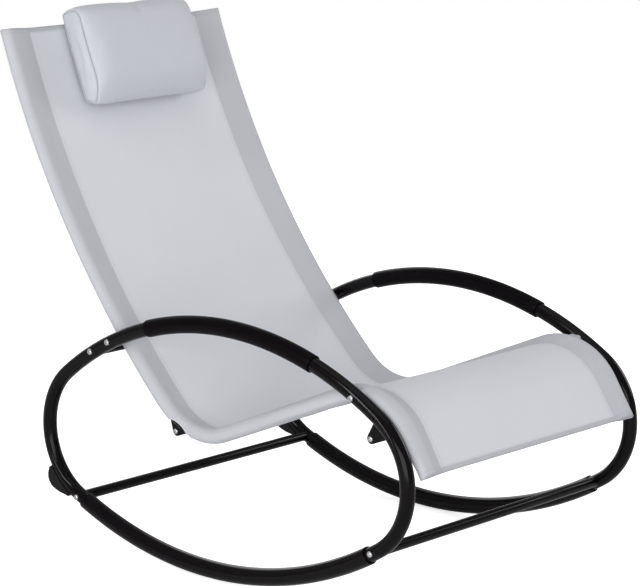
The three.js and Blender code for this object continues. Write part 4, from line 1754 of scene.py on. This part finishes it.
    def build(self) -> None:
        """Makes and hangs the sheet, the notches' bindings, the collars and the stitching."""
        low, high = -self.overhang, self.rails.line.length + self.overhang
        half = self.columns()
        reach, widest = self.notch_reach(half)
        near, far = self.notch_middle - widest, self.notch_middle + widest
        edges = self.hem + np.array([-0.6, 0.6]) * MM
        rows = np.concatenate([np.linspace(low, near, steps(near - low, self.pitch)),
                               np.linspace(near, far, 11)[1:-1],
                               np.linspace(far, high, steps(high - far, self.pitch)),
                               low + edges, high - edges])
        rows = np.unique(np.round(rows, 6))
        warped = self._warped(rows, reach, near, far)
        across = np.concatenate([-half[:0:-1], half])
        distance = np.concatenate([warped[:, :0:-1], warped], axis=1)
        size = np.abs(across)
        fold = hill(size - sum(self.arc) / 2, self.ear_width) * self.ear
        pull = (np.exp((low - distance) / self.ear_reach)
                - np.exp((distance - high) / self.ear_reach))
        start, stop = self.notch_span
        row_in = (rows[:-1] >= near - 1e-7) & (rows[1:] <= far + 1e-7)
        column_in = ((np.minimum(size[:-1], size[1:]) >= start - 1e-6)
                     & (np.maximum(size[:-1], size[1:]) <= stop + 1e-6))
        skin = Skin(self.spot(distance - fold * pull, across), wrap_columns=False,
                    uv=np.stack([np.broadcast_to(across, distance.shape), distance], -1),
                    keep=~(row_in[:, None] & column_in[None]),
                    marks=self._marks(size, np.minimum(distance - low, high - distance)), sharp=75)
        sheet = WORKSHOP.craft("sling_cloth", [skin], Finish.SLING, ["sling"])
        solid = sheet.modifiers.new("thickness", "SOLIDIFY")
        solid.thickness, solid.offset, solid.use_rim = self.thickness, 0.0, True
        extras = [self._bindings(half, reach), self._collars(), *self._stitching(low, high)]

    def _warped(self, rows: Array, reach: Array, near: float, far: float) -> Array:
        """Bends rows about the notch, whose first and last row follow its edge in each column."""
        first, last = near - self.notch_give, far + self.notch_give
        middle = self.notch_middle
        warped = np.stack([np.interp(rows, [first, near, far, last],
                                     [first, middle - w, middle + w, last]) for w in reach], axis=1)
        outside = (rows < first) | (rows > last)
        warped[outside] = rows[outside, None]
        return warped

    def _marks(self, size: Array, edge: Array) -> dict[str, Array]:
        """Painted shade of doubled cloth and creases, by distances from its middle and its nearer
        end.
        """
        # painted shade over the sleeves and hems, where the cloth is doubled
        sleeve = share_of(size - self.seam, 0.5 * MM)[None]
        hem = share_of(self.hem - edge, 0.6 * MM)
        # painted shade along the seam, at the hem's fold and at the cut edge
        crease_shades = (hill(size - self.seam, 1.6 * MM)[None] * 0.8,
                   hill(edge - self.hem, 0.9 * MM) * 0.7, hill(edge, 1.2 * MM) * 0.6)
        return {"doubled_shade": np.maximum(sleeve, hem) * self.doubled_shade,
                "crease_shade": np.maximum(np.maximum(crease_shades[0], crease_shades[1]), crease_shades[2])}

    def _bindings(self, half: Array, reach: Array) -> bpy.types.Object:
        """Binds the edge of each notch with a folded strip, drawn as a strand along the edge."""
        start, stop = self.notch_span
        inside = (half >= start - 1e-6) & (half <= stop + 1e-6)
        across, span = half[inside], reach[inside]
        foot = self.notch_middle + np.linspace(-1, 1, 9)[1:-1] * span[-1]
        skins = []
        for _, side in HANDS:
            ring = np.concatenate([self.spot(self.notch_middle - span, side * across),
                                   self.spot(foot, np.full(7, side * across[-1])),
                                   self.spot(self.notch_middle + span, side * across)[::-1]])
            skins.append(rope_skin(ring, self.binding, 10, True))
        return WORKSHOP.craft("notch_bindings", skins, Finish.SLING)

    def _collars(self) -> bpy.types.Object:
        """Gathers the cloth round each front spacer: a flare from the sleeve up to the loop."""
        s, rails = self.sizes, self.rails
        on_rail, on_loop = rails.crossings[1]
        place, heading = rails.line.at(on_rail)[0], rails.loops.line.at(on_loop)[1]
        turn = circle(40)
        mouth = s.loop_y - saddle(self.collar_mouth, turn, heading, s.tube / 2)
        out, radius = np.array(self.collar).T[..., None] * MM
        y = np.vstack([np.broadcast_to(s.rail_y + out, (len(out), len(turn))), mouth])
        radius = np.vstack([radius, [[self.collar_mouth]]])
        # the collar is doubled cloth: painted shade, with a weaker painted crease shade
        doubled_shade = np.full(y.shape, self.doubled_shade)
        marks = {"doubled_shade": doubled_shade, "crease_shade": 0.3 * doubled_shade}
        skins = [Skin(ring_grid(place, radius, turn, side * y), caps=True, marks=marks)
                 for _, side in HANDS]
        return WORKSHOP.craft("spacer_collars", skins, Finish.SLING)

    def _stitching(self, low: float, high: float) -> list[bpy.types.Object]:
        """Lays the rows of stitches along both seams and both hems."""
        step = self.stitch + self.stitch_gap
        along = np.arange(low + 4 * MM, high - 4 * MM, step)
        seams = [self._row(along, np.full(along.shape, side * (self.seam + row)), True)
                 for _, side in HANDS for row in self.seam_rows]
        across = np.arange(-self.arc[0], self.arc[0], step)
        hems = [self._row(np.full(across.shape, row), across, False)
                for row in (low + self.hem_row, high - self.hem_row)]
        return [WORKSHOP.craft("seam_stitches", seams, Finish.THREAD),
                WORKSHOP.craft("hem_stitches", hems, Finish.THREAD)]

    def _row(self, distance: Array, across: Array, lengthwise: bool) -> Skin:
        """One row of stitches, each set along the row and square to the cloth."""
        above, bit = self.thickness / 2 + self.stitch_lift, 0.5 * MM
        spot = self.spot(distance, across, above)
        along = self.spot(distance + bit, across, above) - self.spot(distance - bit, across, above)
        side = self.spot(distance, across + bit, above) - self.spot(distance, across - bit, above)
        return stitch_skin(spot, along if lengthwise else side, np.cross(along, side),
                           self.stitch, self.stitch_thick)


# Headrest

@dataclass
class Headrest:
    """The headrest pillow and its two strips of fastener tape, in a flat view of its own.

    The flat view is (across, down the back from the sling's top edge, height above the cloth),
    and is laid on the back's curve at the end. The pillow is one panel wrapped round from back
    to front, with an end panel sewn in at each side. Its corners are (down from its top,
    height, reach of the rounding) in millimetres.
    """

    rails: Rails
    overhang: float = 8 * MM
    width: float = 284 * MM
    drift: float = 8 * MM
    height: float = 181 * MM
    side: float = 50 * MM
    crown: float = 23 * MM
    top: float = -18 * MM
    base: float = 4.33 * MM
    inset: float = 2.5 * MM
    end_inset: float = 4.5 * MM
    end_bulge: float = 2 * MM
    bow: float = 0.11
    corners: tuple = ((168, 0, 7), (1, 0, 8), (2, 46, 25), (148, 47, 20), (179, 25, 7))
    voxel: float = 4.5 * MM
    swell: float = 4.5 * MM
    fill_steps: int = 20
    fill_pressure: float = 4.0
    flattest: float = 0.4 * MM
    seam_hold: float = 0.85
    seam_depth: float = 1.3 * MM
    seam_reach: float = 3.5 * MM
    # strength of the painted shade along the pillow's seams
    crease_shade: float = 0.6
    piping: float = 1.1 * MM
    zip_length: float = 220 * MM
    zip_level: float = 10 * MM
    zip_lean: float = 0.5
    zip_step: float = 1.6 * MM
    tape_half: float = 100 * MM
    tape_ease: float = 0.4 * MM

    def __post_init__(self) -> None:
        """Works out the pillow's middle in the flat view and half the width between its seams."""
        self.middle = np.array([0, self.top + self.height / 2, self.side / 2])
        self.half = self.width / 2 - self.end_inset

    def laid(self, flat: Array) -> Array:
        """Lays points of the flat view on the back, as points of the chair's view."""
        down, height = flat[..., 1] - self.overhang, self.base + flat[..., 2]
        return self.rails.line.lift(down, -height, flat[..., 0] + self.drift)

    def profile(self, count: int) -> Array:
        """Closed outline of an end panel, whose corners are rounded by parabolas.

        A parabola is the corner's three points weighted by (1 - t) squared, 2 t (1 - t) and t
        squared.

        Args:
            count: Points wanted.

        Returns:
            Points as (down, height), spaced equally.
        """
        table = np.array(self.corners) * MM
        points = np.stack([self.top + table[:, 0], self.inset + table[:, 1]], -1)
        t = np.linspace(0, 1, 15)[:, None]
        line = []
        for k, reach in enumerate(table[:, 2]):
            here, into, out = points[k], points[k] - points[k - 1], points[k + 1 - len(points)]
            into = here - reach * into / np.linalg.norm(into)
            out = here + reach * (out - here) / np.linalg.norm(out - here)
            line.append((1 - t) ** 2 * into + 2 * t * (1 - t) * here + t ** 2 * out)
        return even_ring(np.concatenate(line), count)

    def ring(self, across: Array, shrink: Array, count: int = 140) -> Array:
        """Outlines at places across: the end panel's, bowed and raised at the front by a crown.

        The crown is a sine down the pillow, times the root of one less the eighth power of the
        share of the half-width.

        Args:
            across: Places across.
            shrink: Size of each outline about the middle, 1 for the whole.
            count: Points of an outline.

        Returns:
            Points of the flat view, as (places, count, 3).
        """
        outline = self.profile(count)
        down = share_of(outline[:, 0] - self.top, self.height)
        front = share_of(outline[:, 1], self.side) ** 3
        left = np.clip(1 - (across / self.half) ** 8, 0, 1)[:, None] ** 0.5
        rise = self.crown * left * (front * np.sin(math.pi * down) ** 0.6)
        middle = self.middle[1:]
        flat = middle + (outline - middle) * shrink[:, None, None]
        bowed = flat[..., 0] + (flat[..., 0] - middle[0]) * self.bow * left
        across = np.broadcast_to(across[:, None], rise.shape)
        return np.stack([across, bowed, flat[..., 1] + rise], -1)

    def block(self) -> bpy.types.Mesh:
        """The sewn cover before it is filled: a wrapped panel and two end panels."""
        along = self.half * np.sin(np.linspace(-math.pi / 2, math.pi / 2, 61))
        end = np.linspace(0.985, 0.05, 14)
        bulge = self.half + self.end_bulge * (1 - end ** 2)
        across = np.concatenate([-bulge[::-1], along, bulge])
        shrink = np.concatenate([end[::-1], np.ones(len(along)), end])
        points, quads, triangles = Skin(self.ring(across, shrink), caps=True).faces()
        mesh = bpy.data.meshes.new("pillow_block")
        mesh.from_pydata(points.tolist(), [], quads.tolist() + triangles.tolist())
        return mesh

    def fill(self) -> tuple[Array, list]:
        """Fills the cover: remeshes it, blows it up as cloth and holds it at the seams.

        The cloth's own move is kept small by a hyperbolic tangent.

        Returns:
            Points of the flat view and the faces of the subdivided pillow.
        """
        cover = put("pillow_cover", self.block())
        remesh = cover.modifiers.new("remesh", "REMESH")
        remesh.mode, remesh.voxel_size = "VOXEL", self.voxel
        cover.data = settled(cover)
        cover.modifiers.clear()
        start = coordinates(cover.data)
        move = self._blown(cover) - start
        size = np.linalg.norm(move, axis=1, keepdims=True) + 1e-9
        hold = 1 - self.seam_hold * hill(gaps(start, self.seam_lines()), 10 * MM)
        end = start + move / size * self.swell * np.tanh(size / self.swell) * hold[:, None]
        LOG.info("pillow moved up to %.1f mm", float(size.max()) / MM)
        cover.data.vertices.foreach_set("co", end.astype(np.float32).ravel())
        finer = cover.modifiers.new("finer", "SUBSURF")
        finer.levels = finer.render_levels = 1
        done = settled(cover)
        bpy.data.objects.remove(cover)
        return coordinates(done), [tuple(face.vertices) for face in done.polygons]

    def _blown(self, cover: bpy.types.Object) -> Array:
        """Points of the cover after some steps of cloth under pressure, without weight."""
        scene = bpy.context.scene
        cloth = cover.modifiers.new("filling", "CLOTH")
        cloth.settings.quality = 5
        cloth.settings.use_pressure = True
        cloth.settings.uniform_pressure_force = self.fill_pressure
        cloth.settings.effector_weights.gravity = 0
        cloth.point_cache.frame_start, cloth.point_cache.frame_end = 1, self.fill_steps
        for step in range(1, self.fill_steps + 1):
            scene.frame_set(step)
        end = coordinates(settled(cover))
        cover.modifiers.clear()
        scene.frame_set(1)
        return end

    def seam_lines(self) -> list[Array]:
        """The seams round both end panels, on the plain cover."""
        return list(self.ring(np.array([-self.half, self.half]), np.ones(2), 420))

    def build(self) -> None:
        """Makes and hangs the pillow, its piping, its zip and its tapes."""
        points, faces = self.fill()
        tree = BVHTree.FromPolygons([tuple(p) for p in points], faces)
        seams = [np.array([tree.find_nearest(Vector(p))[0] for p in line])
                 for line in self.seam_lines()]
        gap = gaps(points, seams)
        inward = self.middle - points
        inward = inward / np.linalg.norm(inward, axis=1, keepdims=True)
        points = points + inward * self.seam_depth * hill(gap, self.seam_reach)[:, None]
        points[:, 2] = np.maximum(points[:, 2], self.flattest)
        mesh = bpy.data.meshes.new("pillow")
        mesh.from_pydata(STANCE.place(self.laid(points)).tolist(), [], faces)
        self._map(mesh, points, faces)
        # painted shade along the seams, where the cover is drawn in
        mark(mesh, "crease_shade", hill(gap, 2.4 * MM) * self.crease_shade)
        pillow = WORKSHOP.hang("pillow", smooth(mesh, 180), Finish.PILLOW, ["headrest_pillow"],
                               "headrest")
        lines = (self.laid(loosened(line, self.piping * 0.2, self.middle)) for line in seams)
        WORKSHOP.craft("pillow_piping", [rope_skin(line, self.piping, 8, True) for line in lines],
                       Finish.PILLOW, body="headrest")
        self._zip(tree)
        self._tapes()

    def _zip(self, tree: BVHTree) -> None:
        """Sews a zip into the lower side: rows of teeth on a tape, and a slider."""
        across = np.arange(-self.zip_length / 2, self.zip_length / 2, self.zip_step)
        below, level = self.top + self.height + 40 * MM, self.zip_level
        hits = [tree.ray_cast(Vector((x, below, level)), Vector((0, -1, 0)))[0] for x in across]
        down = evened(np.array([hit[1] for hit in hits]), 6)
        middle = np.stack([across, down + 0.5 * MM, np.full(across.shape, level)], -1)
        ribbon = ((-5, -1.2), (-5, -0.3), (0, 0.1), (5, -0.3), (5, -1.2))
        tape = np.stack([middle + np.array([0, lift + self.zip_lean * reach, reach]) * MM
                         for reach, lift in ribbon], axis=1)
        stop = middle[-3:-2]
        WORKSHOP.craft("zip_tape", [Skin(self.laid(tape), caps=True)], Finish.TAPE,
                       body="headrest")
        WORKSHOP.craft("zip_teeth", [self._tooth(middle, 0.5, (0, 0, 1), 5, 1.0)], Finish.TAPE,
                       body="headrest")
        WORKSHOP.craft("zip_slider", [self._tooth(stop, 1.4, (1, 0, 0), 11, 3.2)], Finish.ZINC,
                       body="headrest")

    def _tooth(self, spot: Array, lift: float, way: Sequence[float], length: float,
               thick: float) -> Skin:
        """Short bars lifted off places of the flat view, with their sizes in millimetres."""
        out = (0, 1, 0)
        ways, ups = (self.laid(spot + np.array(to) * MM) - self.laid(spot) for to in (way, out))
        raised = self.laid(spot + np.array([0, lift, 0]) * MM)
        return stitch_skin(raised, ways, ups, length * MM, thick * MM)

    def _map(self, mesh: bpy.types.Mesh, points: Array, faces: list) -> None:
        """Writes the cloth map: each face is seen square on along the axis it faces most."""
        corners = np.concatenate(faces)
        count = np.array([len(face) for face in faces])
        first = np.concatenate([[0], np.cumsum(count)[:-1]])
        a, b, c = (points[corners[first + k]] for k in (0, 1, 2))
        facing = np.abs(np.cross(b - a, c - a)).argmax(1)
        pair = np.array([[2, 1], [0, 2], [0, 1]])[np.repeat(facing, count)]
        chart(mesh, np.take_along_axis(points[corners], pair, 1))

    def _tapes(self) -> None:
        """Makes the loop tape on the sling and the hook tape behind the pillow."""
        half, e = self.tape_half, self.tape_ease
        jobs = (("loop_tape", "sling_loop_strip", (10, 142), (0.6, 2.5), "chair", "sling_cloth"),
                ("hook_tape", "headrest_hook_strip", (12, 60), (2.7, 4.4), "headrest", "pillow"))
        for name, node, (top, height), levels, body, under in jobs:
            low, high = (level * MM for level in levels)
            down = (top * MM + np.linspace(0, height * MM, 30))[:, None]
            across = np.array([-half, -half, e - half, 0, half - e, half, half, 0])
            level = np.array([low, high - e, high, high, high, high - e, low, low])
            grid = self.rails.line.lift(down - self.overhang, -level, across)
            tape = WORKSHOP.craft(name, [Skin(grid, caps=True)], Finish.TAPE, [node], body)


def put(name: str, data: bpy.types.ID) -> bpy.types.Object:
    """Puts a mesh, lamp or camera into the scene as an object."""
    made = bpy.data.objects.new(name, data)
    bpy.context.scene.collection.objects.link(made)
    return made


def settled(piece: bpy.types.Object) -> bpy.types.Mesh:
    """A copy of a piece's mesh with its modifiers applied."""
    graph = bpy.context.evaluated_depsgraph_get()
    return bpy.data.meshes.new_from_object(piece.evaluated_get(graph), depsgraph=graph)


def coordinates(mesh: bpy.types.Mesh) -> Array:
    """A mesh's points as (count, 3)."""
    flat = np.zeros(len(mesh.vertices) * 3, np.float32)
    mesh.vertices.foreach_get("co", flat)
    return flat.reshape(-1, 3).astype(float)


def loosened(line: Array, reach: float, middle: Array) -> Array:
    """A closed line in the flat view, evened out and moved a little outward from the middle."""
    for _ in range(6):
        line = (np.roll(line, 1, 0) + 2 * line + np.roll(line, -1, 0)) / 4
    out = line - middle
    return line + out / np.linalg.norm(out, axis=1, keepdims=True) * reach


def gaps(points: Array, lines: Sequence[Array]) -> Array:
    """Distance of each point to the nearest of some lines' points, a batch at a time."""
    stops, batches = np.concatenate(lines)[::2], max(1, len(points) // 2000)
    return np.concatenate([np.linalg.norm(part[:, None] - stops[None], axis=-1).min(1)
                           for part in np.array_split(points, batches)])


# Studio

def aimed(place: Sequence[float], target: Sequence[float]) -> Euler:
    """The turn that makes a lamp or camera at a place look at a target."""
    return (Vector(target) - Vector(place)).to_track_quat("-Z", "Y").to_euler()


@dataclass(frozen=True)
class Lamp:
    """A soft rectangular lamp that looks at a point."""

    name: str
    place: Triple
    size: Pair
    power: float

    def hang(self, target: Sequence[float]) -> None:
        """Hangs the lamp and turns it to the target."""
        data = bpy.data.lights.new(self.name, "AREA")
        data.shape = "RECTANGLE"
        (data.size, data.size_y), data.energy = self.size, self.power
        lamp = put(self.name, data)
        lamp.location, lamp.rotation_euler = self.place, aimed(self.place, target)


@dataclass
class Studio:
    """The camera, a pale floor, a white surround and soft lamps."""

    eye: Triple = (3.16558, -3.36877, 1.39004)
    target: Triple = (0.02314, -0.00084, 0.44885)
    lens: float = 150.857
    sensor: float = 36.0
    lamps: tuple[Lamp, ...] = (Lamp("front", (3.0, -3.6, 1.2), (4.5, 2.2), 116),
                               Lamp("strip", (-0.8, -4.0, 1.8), (0.3, 3.2), 50),
                               Lamp("right", (1.6, 4.0, 2.0), (2.0, 2.0), 58),
                               Lamp("top", (0.3, -0.3, 3.6), (2.5, 2.5), 13),
                               Lamp("back", (-3.6, 2.0, 1.8), (2.5, 2.5), 32))
    surround: float = 0.34
    floor_color: Triple = (0.9, 0.9, 0.9)
    floor_half: float = 15.0
    floor_glow: float = 0.68

    def build(self) -> None:
        """Makes the camera, the floor, the world and the lamps."""
        scene = bpy.context.scene
        data = bpy.data.cameras.new("camera")
        data.lens, data.sensor_width = self.lens, self.sensor
        data.clip_start, data.clip_end = 0.05, 100
        camera = put("camera", data)
        camera.location, camera.rotation_euler = self.eye, aimed(self.eye, self.target)
        scene.camera = camera
        scene.view_settings.view_transform = "Standard"
        self._floor()
        self._surround()
        for lamp in self.lamps:
            lamp.hang(self.target)

    def _floor(self) -> None:
        """Lays a pale floor that keeps the chair's shadow and glows a little for the camera."""
        mesh = bpy.data.meshes.new("floor")
        corners = [(x * self.floor_half, y * self.floor_half, 0)
                   for x, y in ((-1, -1), (1, -1), (1, 1), (-1, 1))]
        mesh.from_pydata(corners, [], [(0, 1, 2, 3)])
        floor = put("floor", mesh)
        book, made = NodeBook.material("floor_finish")
        seen = book.node("ShaderNodeLightPath", {}, {}, "Is Camera Ray")
        grain = book.noise(book.place(), 3.0, 3.0) * 0.1
        book.drive(Base_Color=book.blend(grain, self.floor_color, WHITE), Roughness=0.9,
                   Specular_IOR_Level=0.0, Emission_Color=(*WHITE, 1.0),
                   Emission_Strength=seen * self.floor_glow)
        mesh.materials.append(made)

    def _surround(self) -> None:
        """Lights from a world that the camera sees as full white and the chair as dimmer."""
        world = bpy.data.worlds.new("surround")
        bpy.context.scene.world = world
        world.use_nodes = True
        book = NodeBook(world.node_tree, "ShaderNodeBackground", "ShaderNodeOutputWorld")
        seen = book.node("ShaderNodeLightPath", {}, {}, "Is Camera Ray")
        book.drive(Color=(*WHITE, 1.0), Strength=seen * (1 - self.surround) + self.surround)


def main() -> None:
    """Builds every sub-assembly in order."""
    logging.basicConfig(level=logging.INFO, format="%(name)s: %(message)s")
    loops = SideLoops()
    rails = Rails(loops)
    for part in (loops, rails, CrossBars(), Bolts(rails), Sling(rails), Headrest(rails), Studio()):
        part.build()


if __name__ == "__main__":
    main()
